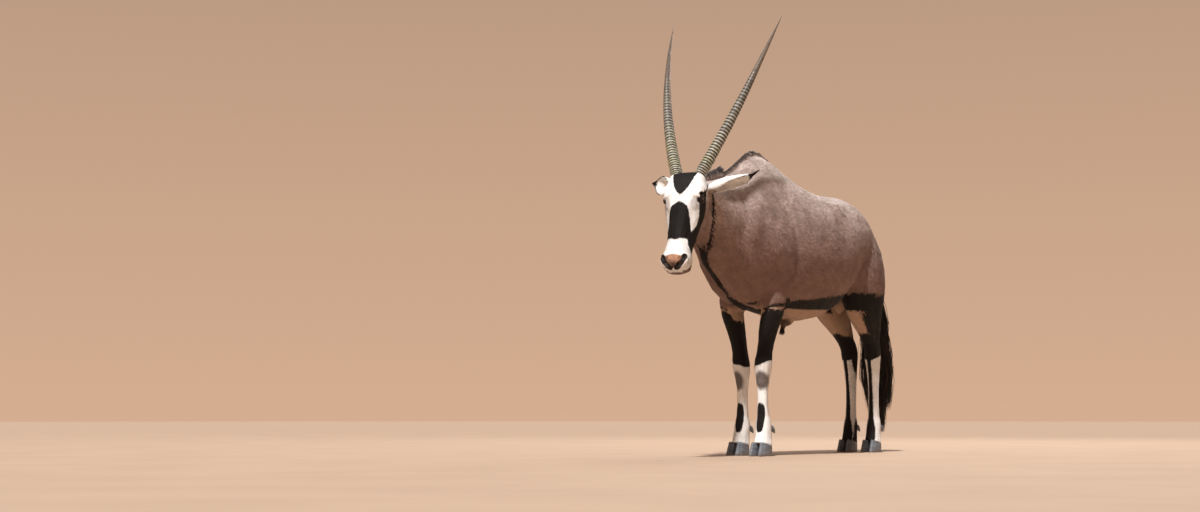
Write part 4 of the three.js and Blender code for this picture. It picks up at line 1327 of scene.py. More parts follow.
crest_line = smooth_path(CREST[None], 120)[0]
share = luck.uniform(0.0, 0.985, MANE_STRANDS)
clump = np.floor(share * MANE_CLUMPS).astype(int)
clump_luck = np.random.default_rng(8).uniform(-1, 1, MANE_CLUMPS + 1)[clump]
root = places_on(crest_line, np.linspace(0, 1, len(crest_line)), share)
sideways = luck.normal(0, 4.6, MANE_STRANDS)
root += np.stack((sideways, np.zeros_like(sideways), -3.5 - 0.035 * sideways**2), axis=1)
height = at(share, MANE_HEIGHT) * (0.84 + 0.20 * clump_luck) * luck.uniform(0.8, 1.04, MANE_STRANDS)
height *= 1 - 0.25 * np.abs(sideways) / 10
lean = np.stack((sideways * 0.35 + clump_luck * 2.0, 0.55 * height + 3 * clump_luck, height), axis=1)
lean += luck.normal(0, 1.1, lean.shape)
low_bend = root + lean * (0.2, 0.12, 0.4)
high_bend = root + lean * (0.7, 0.5, 0.8)
knots = np.stack((root - (0, 0, 7), low_bend, high_bend, root + lean), axis=1)
paths = smooth_path(knots, len(MANE_TAPER) + 2)
widths = luck.uniform(0.9, 1.7, MANE_STRANDS)[:, None] * MANE_TAPER
spot = np.stack((share, (sideways + 20) / 40), axis=1)
flat = np.tile((1.0, 0, 0), (MANE_STRANDS, 1))
tones = {"tone": luck.uniform(0, 1, MANE_STRANDS)}
mane = slivers("mane_hair", to_world(paths), widths / 1000, flat, spot, tones)
print("mane:", len(mane.data.polygons), "triangles")

# %% [markdown]
# The markings. Each is given in millimetres on the animal: a patch by its width at each height, a stripe by
# a line and its half-width. Every function tells how deep a point lies inside its marking, with a minus
# sign outside, so that skin and hair can share one sharp edge. A stripe's line is first laid on the skin,
# so that it nowhere dips under it.

# %% Stripes and patches
skin.data.calc_loop_triangles()
corner_index = np.empty(len(skin.data.loop_triangles) * 3, dtype=np.int32)
skin.data.loop_triangles.foreach_get("vertices", corner_index)
corner_index = corner_index.reshape(-1, 3)
skin_points = points_of(skin.data)
skin_normals = normals_of(skin.data)
skin_tree = BVHTree.FromPolygons(skin_points.tolist(), corner_index.tolist())


def laid(points, lift):
    """Each point moved to `lift` metres above the nearest place on the skin."""
    found = [skin_tree.find_nearest(point) for point in points.tolist()]
    place = np.array([hit[0][:] for hit in found])
    normal = np.array([hit[1][:] for hit in found])
    return place + normal * lift[:, None]


def stripe(points, path, halves):
    """How deep each point lies in a stripe along `path`, whose half-width changes from place to place."""
    path = np.asarray(path, float)
    best = np.full(len(points), -1e9)
    for start, end, first, last in zip(path[:-1], path[1:], halves[:-1], halves[1:]):
        step = end - start
        share = np.clip((points - start) @ step / (step @ step), 0, 1)
        away = np.linalg.norm(points - start - share[:, None] * step, axis=1)
        best = np.maximum(best, first + (last - first) * share - away)
    return best


def skin_stripe(points, path, halves):
    """A stripe whose line is laid on the skin."""
    count = 4 * len(path)
    line = smooth_path(np.array([path], float), count)[0]
    line[:, 0] += at(line[:, 1], NECK_MIDDLE)
    line = to_body(laid(to_world(line), np.zeros(count)))
    line[:, 0] -= at(line[:, 1], NECK_MIDDLE)
    return stripe(points, line, np.interp(np.linspace(0, 1, count), np.linspace(0, 1, len(halves)), halves))


def oval(places, middle, halves, depth):
    """How deep each place lies in an oval patch: `depth` in its middle and 0 at its edge."""
    away = (places - np.array(middle)) / halves
    return depth * (1 - np.sqrt((away**2).sum(axis=1)))


def both(*depths):
    return np.minimum.reduce(depths)


def either(*depths):
    return np.maximum.reduce(depths)


print("markings can be laid on", len(corner_index), "triangles of skin")

# %% [markdown]
# Skin and hair ask for their markings at thousands of points at once. Each point is measured once, and then
# goes by plain names: x, y and z on the side of the body, out and behind on its leg, and its place on the
# head.

# %% Measured points
OFF = -60.0
MARK_REACH = 40


def skull_share(points):
    """1 on the head and 0 elsewhere, with a soft edge at the throat."""
    return (1 - bodily(points)) * fade(to_body(points)[:, 2], 560, 640)


def measured(points):
    body = to_body(points)
    side = side_places(body)
    x, y, z = side.T
    out, behind, hind = leg_places(body)
    wander = 2.6 * np.sin(y / 17 + 2.1 * np.sin(z / 29)) + 2.2 * np.sin(z / 11 + 1.7 * np.sin(y / 23) + x / 9)
    skull = skull_share(points)
    return SimpleNamespace(
        points=points, body=body, side=side, x=x, y=y, z=z, out=out, behind=behind, hind=hind, wander=wander,
        head=folded(points), skull=skull, on_skull=skull > 0.5, ear=ear_share(points),
    )


print("the skin's highest point is", round(float(measured(skin_points).z.max())), "mm up")

# %% [markdown]
# Black on the head. The poll between the horns is black, and so are a blaze on the forehead and a saddle on
# the nose. A broad stripe runs from behind the horn over the eye to the cheek. The front of the chin is
# painted black, partly its dark hair and partly painted shadow under it. Each ear has a black tip and a black
# rim, which is longer on the ear that is seen from its edge.

# %% Black on the head
FOREHEAD = ((-105, 0), (-101, 7), (-95, 14), (-86, 22), (-74, 29), (-51, 37), (-22, 45), (10, 52))
NOSE = ((-286, 51), (-265, 49), (-235, 45), (-200, 41), (-165, 37), (-150, 30), (-140, 16), (-132, 0))
EYE_STRIPE = (
    (62, 26, -26), (74, 4, -66), (78, -18, -104), (71, 4, -140), (64, 18, -170), (58, 26, -205),
    (51, 20, -240), (47, 6, -264), (47, 2, -288), (48, 4, -306), (48, 6, -320),
)
EYE_STRIPE_HALF = (7, 7, 21, 24, 25, 26, 29, 30, 21, 11, 3)
EAR_BLACK = {"left": (0.765, 0.66, 4.0), "right": (0.80, 0.5, 8.0)}


def face_black(p):
    hx, hy, hz = p.head.T
    poll = oval(p.head, (0, 18, 6), (70, 54, 40), 42)
    forehead = both(at(hz, FOREHEAD) - hx, hz + 104, 30 - hy)
    nose = both(at(hz, NOSE) - hx, hz + 286 - 0.32 * hx, -hz - 132, 12 - hy)
    # The chin's black is partly dark hair and partly painted shadow under the chin.
    chin_black_and_painted_shadow = np.minimum(both(-hz - 388, hy - 15, 28 - hx) * 0.6, 1.2)
    eye_stripe = stripe(p.head, EYE_STRIPE, EYE_STRIPE_HALF)
    return np.where(p.on_skull, either(poll, forehead, nose, eye_stripe, chin_black_and_painted_shadow), OFF)


def ear_black(p):
    """The black of each ear: where its tip and its rim start along it, and how wide the rim is."""
    black = np.full(len(p.points), OFF)
    for side, (tip_start, rim_start, rim_width) in EAR_BLACK.items():
        share, across, cup = ear_place(p.points, side)
        here = (np.abs(across) < EAR_BOX) & (np.abs(cup) < EAR_BOX) & (share > 0.1) & (share < 1.15)
        half = at(share, EAR_HALF)
        turn = np.abs(np.arctan2(across / half, -cup / at(share, EAR_DEPTH)))
        from_edge = (np.radians(at(share, EAR_WRAP)) - turn) * half
        tip = (share - tip_start) * EAR_LENGTH
        rim = both(rim_width - from_edge, (share - rim_start) * 80)
        black = np.where(here, either(black, tip, rim), black)
    return black


p = measured(skin_points)
print("black on the head:", int(((face_black(p) > 0) | ((p.ear > 0.3) & (ear_black(p) > 0))).sum()), "points")

# %% [markdown]
# Black on the body. A thin line follows the jaw down the neck and meets the throat stripe, which runs down
# to the chest. From there a sling goes round the foreleg's root to the broad stripe along the flank. The
# tail and a narrow line on the back are dark too.

# %% Black on the body
JAW_LINE = (
    (68, -460, 984), (63, -451, 952), (57, -436, 922), (51, -423, 892),
    (44, -414, 862), (36, -404, 832), (20, -397, 802), (0, -387, 779),
)
JAW_LINE_HALF = (4.5, 6, 6.5, 6.5, 6.5, 7.5, 9, 12)
THROAT_LINE = (
    (-2, -396, 800), (-13, -372, 768), (-15, -340, 736), (-13, -304, 702), (-3, -258, 655), (2, -228, 628),
)
THROAT_LINE_HALF = (10, 20, 20, 18, 11, 7)
CHEST_LINE = ((0, -205, 618), (0, -120, 590), (0, 0, 566), (0, 90, 558))
CHEST_LINE_HALF = (11, 26, 42, 34)
ARMPIT_LINE = ((20, 60, 560), (70, 84, 576), (108, 76, 600))
ARMPIT_LINE_HALF = (26, 20, 14)
SLING_LINE = (
    (52, -128, 572), (86, -104, 578), (115, -74, 586), (138, -14, 596), (132, 50, 603), (104, 80, 600),
)
SLING_LINE_HALF = (12, 8, 7, 7, 9, 12)
FLANK = ((40, 596), (240, 608), (400, 622), (520, 636), (645, 642), (740, 640))
FLANK_HALF = ((40, 12), (80, 14), (190, 22), (240, 24), (400, 31), (520, 34), (645, 36), (740, 40))
TAIL_BLACK = ((560, 26), (700, 12), (900, -6))


def jaw_black(p):
    return skin_stripe(p.side, JAW_LINE, JAW_LINE_HALF)


def body_black(p):
    across = p.body[:, 0] - at(p.y, NECK_MIDDLE)
    throat = skin_stripe(np.stack((across, p.y, p.z), axis=1), THROAT_LINE, THROAT_LINE_HALF)
    chest = skin_stripe(p.side, CHEST_LINE, CHEST_LINE_HALF)
    armpit = stripe(p.side, ARMPIT_LINE, ARMPIT_LINE_HALF)
    sling = skin_stripe(p.side, SLING_LINE, SLING_LINE_HALF)
    flank = both(at(p.y, FLANK_HALF) - np.abs(p.z - at(p.y, FLANK)), p.y - 40, 740 - p.y, p.x - 40)
    tail = both((p.y - 905) * 0.5, 24 - np.abs(p.body[:, 0] - 5)) + at(p.z, TAIL_BLACK)
    return either(throat, chest, armpit, sling, flank, np.where(p.y > 915, tail, OFF))


print("black on the body:", int((either(jaw_black(p), body_black(p)) > 0).sum()), "points")

# %% [markdown]
# Black on the legs. The forearm wears a broad band above the knee, and the thigh is black down to the hock. A
# black patch lies on the front of each fore cannon, and a line runs down the front of each hind leg.

# %% Black on the legs
FORE_BAND_TOP = ((-30, 524), (0, 534), (15, 560), (34, 572))
THIGH_TOP = ((640, 666), (700, 664), (780, 673), (870, 690))
THIGH_FRONT = ((500, -48), (520, -92), (545, -126), (575, -165), (610, -202), (649, -216), (672, -190))
SHIN_HALF = ((60, 24), (110, 20), (150, 11), (300, 7.5), (420, 9))


def leg_black(p):
    y, z, out, behind = p.y, p.z, p.out, p.behind
    band_top = at(out, FORE_BAND_TOP) + 0.8 * np.clip(behind, 0, 40)
    fore_band = both(band_top - z, z - 360 - 0.3 * out, 70 - np.abs(behind), 300 - y)
    cannon = 15 * (1 - (np.abs(out + 4) / 17) ** 3 - (np.abs(z - 150) / 58) ** 3)
    cannon = both(cannon, -behind - 2, 300 - y)
    inner_edge = out + 18 - 0.22 * np.clip(z - 506, 0, 200)
    outer_thigh = both(0.18 * (behind - at(z, THIGH_FRONT)), 0.4 * inner_edge)
    low_thigh = 0.5 * (500 - z - 0.12 * behind)
    thigh = both(either(low_thigh, outer_thigh), at(y, THIGH_TOP) - z, z - 410 - 0.3 * behind, y - 400)
    shin = both(at(z, SHIN_HALF) - np.abs(out + 2), -behind - 6, 425 - z, y - 400)
    return either(fore_band + p.wander, cannon, thigh + 0.4 * p.wander, shin)


print("black on the legs:", int((leg_black(p) > 0).sum()), "points")

# %% [markdown]
# White, pale and brown. The face, the ears and the legs below their black bands are white. Belly, groin,
# inner forelegs and nape are pale. Brown are the crest of the neck, the knees, the sheath, the croup and
# the line on the back. Nose pad, lips and nostrils are bare. A soft grey before each eye is partly the grey
# of the tear gland and partly painted shade in the tear groove.

# %% White, pale, brown and bare
WHITE_EDGE = (
    (-330, 400), (-300, 120), (-284, 30), (-240, 24), (-205, 28), (-140, 10), (-104, 4), (-70, 26), (20, 44),
)
BROWN_CREST = ((-470, 34), (-400, 28), (-330, 14), (-250, 8))
BACK_LINE = ((60, 3), (150, 4.5), (600, 6), (700, 12), (800, 34), (860, 40), (900, 30))
SHEATH = (0, 216, 512)


def white(p):
    hz, hy = p.head[:, 2], p.head[:, 1]
    face = both(at(hz, WHITE_EDGE) - hy, 200 * p.skull - 100)
    foreleg = both(364 - p.z + 0.3 * p.out, 300 - p.y)
    hindleg = both(412 - p.z + 0.3 * p.behind, p.y - 400)
    return either(face, foreleg, hindleg, p.ear * 40 - 20)


def pale(p):
    belly = both(at(p.y, FLANK) - p.z, p.y - 30, 760 - p.y)
    groin = both(p.y - 560, either(-p.out - 12, at(p.z, THIGH_FRONT) - p.behind), 650 - p.z)
    fore_top = both(585 - p.z, 300 - p.y, 20 - p.behind)
    return either(belly, groin, fore_top, oval(p.side, (0, -490, 1000), (62, 46, 60), 26))


def brown(p):
    x, y, z = p.x, p.y, p.z
    crest = both(at(y, BROWN_CREST) - x, z - at(y, CREST_HEIGHT) + 32, 235 - y)
    knee = oval(np.stack((p.out, z), axis=1), (0, 296), (24, 38), 26) - 6 * (p.behind > 0)
    knee = knee + np.where(p.hind, OFF, 0)
    sheath = 0.5 * (46 - np.linalg.norm(p.side - SHEATH, axis=1))
    croup = both(y - 690, 60 - x - 0.3 * (860 - y), z - 900) * 0.6
    tail_root = np.where(y > 880, 8 - 0.2 * x, OFF)
    back_line = both(at(y, BACK_LINE) - x, y + 30, z - 940, 905 - y)
    return either(np.where(p.on_skull, OFF, crest), knee, sheath, croup, tail_root, back_line)


def bare(p):
    hx, hy, hz = p.head.T
    pad = oval(np.stack((hx, hz), axis=1), (0, -372), (42, 27), 22) - 22 * fade(hy, -24, -10)
    nostril = 12.5 - distance_to(p.head, NOSTRIL)
    lips = 3.5 - distance_to(p.head, MOUTH)
    return np.where(hz < -300, either(lips, pad, nostril), OFF)


def markings(points):
    """How deep each point lies in each marking, in millimetres, with a minus sign outside."""
    p = measured(points)
    jaw = jaw_black(p)
    on_face = np.where(p.ear > 0.3, ear_black(p), face_black(p))
    on_body = either(jaw, body_black(p), leg_black(p))
    on_cheek = np.where(p.on_skull, both(jaw, 60 - p.head[:, 2]), OFF)
    return {
        "black": either(np.where(p.on_skull, on_face, on_body), on_cheek),
        "white": white(p),
        "pale": pale(p),
        "brown": brown(p),
        "bare": bare(p),
        "lid": 27.5 - np.linalg.norm(p.head - EYE_PLACE, axis=1),
        # The tear mark: partly grey hair by the tear gland, partly painted shade of the tear groove.
        "tear": oval(p.head, (60, -34, -132), (26, 20, 26), 20),
    }


def clipped(values):
    return {key: np.clip(value, -MARK_REACH, MARK_REACH) for key, value in values.items()}


for key, values in clipped(markings(skin_points)).items():
    number_layer(skin, key, values)
print("markings on", len(skin_points), "points of the skin")

# %% [markdown]
# The colour of the coat. Skin and hair read the same marking depths, and one node group turns them into
# colour. Its edges are roughened by fine noise, because hairs of both colours mix there. The fawn is
# mottled at several sizes, as short hair is. It is paler and greyer high on the back, partly its own grey
# and partly painted sunlight, and darker low on the body as painted shade. The pale is painted darker as
# shade too.

# %% Colour shared by skin and hair
# Painted light: fawn and pale darkened as painted shade; the back's fawn painted paler as sunlight.
FAWN_WITH_PAINTED_SHADE = (0.223, 0.136, 0.111, 1)
FAWN_WITH_PAINTED_SUN = (0.520, 0.420, 0.380, 1)
FAWN_DEEP = (0.165, 0.100, 0.080, 1)
PALE_WITH_PAINTED_SHADE = (0.380, 0.250, 0.175, 1)
WHITE = (0.80, 0.785, 0.765, 1)
WHITE_DUSTY = (0.70, 0.66, 0.63, 1)
TEAR_GREY_AND_PAINTED_SHADE = (0.20, 0.165, 0.15, 1)
BROWN = (0.045, 0.024, 0.016, 1)
BLACK = (0.0050, 0.0040, 0.0040, 1)
BLACK_WARM = (0.0110, 0.0075, 0.0064, 1)


def new_colour_group():
    group = bpy.data.node_groups.new("coat_colour", "ShaderNodeTree")
    ragged = group.interface.new_socket(name="Raggedness", in_out="INPUT", socket_type="NodeSocketFloat")
    ragged.default_value = 3.0
    group.interface.new_socket(name="Color", in_out="OUTPUT", socket_type="NodeSocketColor")
    board = Board(group)
    place = board.add("ShaderNodeTexCoord").outputs["Object"]
    height = board.add("ShaderNodeSeparateXYZ", {0: place}).outputs["Z"]
    mottle = board.noise(place, 16.0, 5.0, 0.68, (1.0, 0.6, 1.0))
    fleck = board.noise(place, 120.0, 3.0, 0.7, (1.0, 0.45, 0.8))
    grain = board.noise(place, 330.0, 2.0, 0.6)
    given = board.add("NodeGroupInput").outputs["Raggedness"]
    edge = board.sum(board.around_zero(grain, given), board.around_zero(fleck, 5.0))

    def worn(name, width, strength=1.0):
        """How much of a marking shows, with a soft ragged edge of `width` millimetres to each side."""
        return board.mask(board.sum(board.layer(name), edge), -width, width, 0.0, strength)

    # Painted light by height: paler on the back as painted sunlight, darker below as painted shade.
    fawn_with_painted_light = board.mix(board.mask(height, 0.74, 1.08), FAWN_WITH_PAINTED_SHADE, FAWN_WITH_PAINTED_SUN)
    fawn_with_painted_light = board.mix(board.mask(mottle, 0.60, 0.36, 0.0, 0.42), fawn_with_painted_light, FAWN_DEEP)
    fawn_with_painted_light = board.mix(board.mask(fleck, 0.60, 0.40, 0.0, 0.38), fawn_with_painted_light, FAWN_DEEP)
    clean = board.mix(board.mask(mottle, 0.66, 0.36, 0.0, 0.35), WHITE, WHITE_DUSTY)
    colour = board.mix(worn("pale", 9.0), fawn_with_painted_light, PALE_WITH_PAINTED_SHADE)
    colour = board.mix(worn("white", 1.6), colour, clean)
    colour = board.mix(worn("tear", 9.0, 0.55), colour, TEAR_GREY_AND_PAINTED_SHADE)
    colour = board.mix(worn("brown", 7.0, 0.85), colour, BROWN)
    colour = board.mix(worn("black", 1.4), colour, board.mix(grain, BLACK, BLACK_WARM))
    board.add("NodeGroupOutput", {"Color": colour})
    return group


coat_colour = new_colour_group()
print("coat colour group:", len(coat_colour.nodes), "nodes")

# %% [markdown]
# The skin under the hair. Its surface is mostly fine relief: short hair lying flat gives streaks a
# millimetre or two across, over a soft unevenness. Nose, lips and lids are bare: pebbled, darker and a
# little moist. The lips are near black, partly their own dark skin and partly painted shade along the
# mouth; the same near black is painted into the nostrils as shade, and darkens the muzzle's front.

# %% Skin material
PAD = (0.400, 0.210, 0.125, 1)
PAD_DARK = (0.20, 0.105, 0.070, 1)
# Near black for the dark lips, and painted shade in the nostrils and the mouth's crease.
LIP_AND_PAINTED_SHADE = (0.012, 0.009, 0.008, 1)
LID = (0.014, 0.011, 0.010, 1)
COAT_SPECULAR = 0.16


def new_skin_finish():
    finish, board, place = new_finish("skin_and_short_hair")
    coat = board.add("ShaderNodeGroup", {"Raggedness": 4.0}, node_tree=coat_colour).outputs["Color"]
    bare_skin = board.mask(board.layer("bare"), -1.0, 2.0)
    lid = board.mask(board.layer("lid"), -0.5, 2.0)
    lip = board.mask(board.layer("lip"), -2.0, 3.0)
    pebble = board.add("ShaderNodeTexVoronoi", {"Vector": place, "Scale": 620.0, "Randomness": 0.9})
    streak = board.noise(place, 260.0, 3.0, 0.65, (1.0, 0.22, 0.5))
    soft = board.noise(place, 42.0, 2.0, 0.5)
    pad = board.mix(board.mask(board.noise(place, 60.0, 3.0), 0.35, 0.75), PAD, PAD_DARK)
    colour = board.mix(bare_skin, coat, board.mix(lip, pad, LIP_AND_PAINTED_SHADE))
    colour = board.mix(lid, colour, LID)
    smooth = board.math("MAXIMUM", bare_skin, lid)
    rough = board.sum(board.mask(smooth, 0.0, 1.0, 0.72, 0.42), board.around_zero(soft, 0.12))
    hair_relief = board.times(streak, board.math("SUBTRACT", 1.0, smooth))
    bare_relief = board.times(pebble.outputs["Distance"], board.times(smooth, 0.7))
    relief = board.sum(board.sum(hair_relief, bare_relief), board.times(soft, 0.8))
    plain = {"Sheen Weight": 0.06, "Sheen Roughness": 0.5, "Specular IOR Level": COAT_SPECULAR}
    board.surface(colour, rough, relief, 0.55, 0.0016, plain)
    return finish


# Painted shade: besides the dark lips, this layer paints the nostrils and the mouth's crease near black.
face = folded(skin_points)
lip_depth = either(
    11.5 - distance_to(face, NOSTRIL),
    8.0 - distance_to(face, MOUTH),
    np.minimum(0.16 * (-372 - face[:, 2]), 1.2),
)
number_layer(skin, "lip", np.clip(lip_depth, -20, 20))
skin_finish = new_skin_finish()
dress([skin], skin_finish)
print("skin material:", len(skin_finish.node_tree.nodes), "nodes")

# %% [markdown]
# Horn. The lower half is grey-brown with pale worn crests, and its grooves are painted nearly black as
# shade in the hollows between the rings. The upper half is darker and shines a little, because it is
# rubbed smooth. Fine streaks run along the whole horn.

# %% Horn material
HORN_DUSTY = (0.125, 0.108, 0.068, 1)
HORN_DUSTY_DARK = (0.066, 0.053, 0.041, 1)
HORN_RUBBED = (0.160, 0.118, 0.086, 1)
HORN_RUBBED_DARK = (0.052, 0.040, 0.032, 1)
RING_LOW = (0.42, 0.43, 0.27, 1)
RING_LOW_PALE = (0.50, 0.47, 0.38, 1)
RING_HIGH = (0.30, 0.275, 0.245, 1)
RING_GROOVE_PAINTED_SHADE = (0.016, 0.013, 0.010, 1)
HORN_TIP = (0.022, 0.017, 0.014, 1)


def new_horn_finish():
    finish, board, place = new_finish("horn_keratin")
    ring = board.layer("ring")
    along = board.layer("along")
    streaks = board.noise(place, 210.0, 4.0, 0.7, (1.0, 1.0, 0.05))
    cloud = board.noise(place, 26.0, 4.0, 0.6)
    scuff = board.noise(place, 420.0, 3.0, 0.7)
    patches = board.noise(place, 62.0, 2.0, 0.55, (1.0, 1.0, 1.6))
    lower = board.mix(board.mask(cloud, 0.35, 0.65), HORN_DUSTY, HORN_DUSTY_DARK)
    upper = board.mix(board.mask(streaks, 0.3, 0.7), HORN_RUBBED, HORN_RUBBED_DARK)
    colour = board.mix(board.mask(along, 0.45, 0.68), lower, upper)
    worn = board.mask(board.sum(ring, board.around_zero(scuff, 0.9)), 0.25, 0.9)
    worn = board.times(worn, board.mask(along, 0.66, 0.5))
    worn = board.times(worn, board.mask(patches, 0.34, 0.60, 0.40, 1.0))
    crest = board.mix(board.mask(cloud, 0.4, 0.6), RING_LOW, RING_LOW_PALE)
    crest = board.mix(board.mask(along, 0.16, 0.42), crest, RING_HIGH)
    colour = board.mix(board.times(worn, 0.9), colour, crest)
    # Painted shade: the grooves between the rings are darkened nearly to black.
    groove_shade = board.times(board.mask(ring, 0.10, -0.35), board.mask(along, 0.62, 0.55))
    colour = board.mix(board.times(groove_shade, 0.92), colour, RING_GROOVE_PAINTED_SHADE)
    colour = board.mix(board.mask(along, 0.9, 1.0, 0.0, 0.75), colour, HORN_TIP)
    rough = board.sum(board.mask(along, 0.45, 0.7, 0.46, 0.27), board.times(scuff, 0.12))
    board.surface(colour, rough, board.sum(streaks, board.times(scuff, 0.4)))
    return finish


dress(horns, new_horn_finish())
print("finish for", len(horns), "horns")

# %% [markdown]
# Hoof. The hooves are dark grey, painted lighter and bluer as a painted reflection of the sky, with growth
# lines across them and scuffs that show paler keratin. Close to the ground, the sand has rubbed them and
# left its colour.

# %% Hoof material
# Painted reflection: the hooves' dark grey is painted lighter and bluer, as the sky would show on them.
SLATE_DARK_WITH_PAINTED_SKY = (0.085, 0.095, 0.112, 1)
SLATE_WITH_PAINTED_SKY = (0.160, 0.172, 0.195, 1)
HOOF_SANDY = (0.145, 0.115, 0.090, 1)
HOOF_SCUFF = (0.20, 0.17, 0.14, 1)


def new_hoof_finish():
    finish, board, place = new_finish("hoof_keratin")
    height = board.add("ShaderNodeSeparateXYZ", {0: place}).outputs["Z"]
    growth = board.noise(place, 90.0, 3.0, 0.6, (0.25, 0.25, 4.0))
    grit = board.noise(place, 340.0, 3.0, 0.7)
    colour = board.mix(board.mask(growth, 0.38, 0.62), SLATE_DARK_WITH_PAINTED_SKY, SLATE_WITH_PAINTED_SKY)
    colour = board.mix(board.mask(height, 0.016, 0.002, 0.0, 0.7), colour, HOOF_SANDY)
    colour = board.mix(board.mask(grit, 0.58, 0.75, 0.0, 0.4), colour, HOOF_SCUFF)
    rough = board.sum(0.30, board.times(grit, 0.22))
    board.surface(colour, rough, board.sum(growth, board.times(grit, 0.25)))
    return finish


dress(hooves, new_hoof_finish())
print("finish for", len(hooves), "hooves and dewclaws")

# %% [markdown]
# Eye. It is almost black, with a level oval pupil and fine fibres in the dark brown iris, under a clear wet
# coat. The numbers that the eyeball keeps at its points tell how far across, up and forward each place lies.

# %% Eye material
IRIS = (0.013, 0.0065, 0.0040, 1)
IRIS_FIBRE = (0.028, 0.013, 0.0075, 1)
PUPIL = (0.0022, 0.0028, 0.0042, 1)
EYE_EDGE = (0.030, 0.018, 0.013, 1)
PUPIL_HALF_WIDTH = 0.40
PUPIL_HALF_HEIGHT = 0.17
PUPIL_SQUARENESS = 2.6


def new_eye_finish():
    finish, board, place = new_finish("eye_wet")

    def reach(layer, half):
        share = board.math("DIVIDE", board.layer(layer), half)
        return board.math("POWER", board.math("ABSOLUTE", share), PUPIL_SQUARENESS)

    reaches = board.sum(reach("eye_across", PUPIL_HALF_WIDTH), reach("eye_rise", PUPIL_HALF_HEIGHT))
    from_pupil = board.math("POWER", reaches, 0.4)
    fibres = board.noise(place, 900.0, 3.0, 0.7)
    iris = board.mix(fibres, IRIS, IRIS_FIBRE)
    iris = board.mix(board.mask(from_pupil, 1.12, 0.95), iris, PUPIL)
    colour = board.mix(board.mask(board.layer("eye_front"), 0.70, 0.55), iris, EYE_EDGE)
    rough = board.mask(fibres, 0.0, 1.0, 0.10, 0.18)
    wet = {"Specular IOR Level": 0.12, "Coat Weight": 1.0, "Coat Roughness": 0.03, "Coat IOR": 1.36}
    board.surface(colour, rough, plain=wet)
    return finish


dress(eyes, new_eye_finish())
print("finish for", len(eyes), "eyes")

# %% [markdown]
# Long hair. Each strand has a tone of its own and changes from root to tip. The tassel is black with a few
# rusty, sun-bleached strands. The mane is fawn at its roots and nearly black at its tips, so that it draws
# a dark ragged line along the crest.

# %% Long hair materials
def new_hair_finish(name, root_colour, tip_colour, turn, bleached):
    """Hair that goes from its root's colour to its tip's between the two shares of its length in `turn`."""
    finish, board, place = new_finish(name)
    tone = board.layer("tone")
    along = board.sum(board.layer("along"), board.times(tone, 0.18))
    colour = board.mix(board.mask(along, *turn), root_colour, tip_colour)
    colour = board.mix(board.times(board.layer("rusty"), 0.8), colour, bleached)
    colour = board.shaded(colour, board.mask(tone, 0.0, 1.0, 0.7, 1.35))
    grain = board.noise(place, 500.0, 2.0, 0.6, (1.0, 1.0, 0.2))
    rough = board.mask(grain, 0.2, 0.8, 0.38, 0.6)
    board.surface(colour, rough, grain, 0.3, 0.0006, {"Specular IOR Level": 0.3})
    return finish


tassel_finish = new_hair_finish(
    "tassel_hair",
    root_colour=(0.011, 0.008, 0.007, 1),
    tip_colour=(0.009, 0.007, 0.006, 1),
    turn=(0.3, 0.9),
    bleached=(0.060, 0.028, 0.014, 1),
)
mane_finish = new_hair_finish(
    "mane_hair",
    root_colour=(0.270, 0.190, 0.155, 1),
    tip_colour=(0.022, 0.013, 0.010, 1),
    turn=(0.50, 0.70),
    bleached=(0.090, 0.050, 0.030, 1),
)
dress([tassel], tassel_finish)
dress([mane], mane_finish)
print("finishes for tassel and mane")

# %% [markdown]
# The lie of the hair. Sleek hair lies flat: backwards and down on the body, straight down the legs, away
# from the poll on the face, and out along the ears. It is shortest on face and feet.

# %% Length and lie of the short hair
EAR_REACH = 7.5
FACE_REACH = 5.0
EAR_SIDE = {"left": 1, "right": -1}


def coat_reach(points):
    """The length of the hair, in millimetres."""
    body, head = to_body(points), folded(points)
    reach = 13.5 + 2.5 * fade(-body[:, 2], -640, -560) + 2.0 * fade(-body[:, 1], 180, 330)
    reach = reach * bodily(points) + (6.5 + 3.0 * fade(head[:, 2], -110, -10)) * (1 - bodily(points))
    reach = np.where((head[:, 2] < -150) & (body[:, 1] < -470), FACE_REACH, reach)
    reach = np.where(body[:, 2] < 560, 6.5 + 6.0 * fade(body[:, 2], 380, 560), reach)
    return np.where(ear_share(points) > 0.5, EAR_REACH, reach)


def on_ear(points, side):
    return (ear_share(points) > 0.2) & (np.sign(to_head(points)[:, 0]) == EAR_SIDE[side])


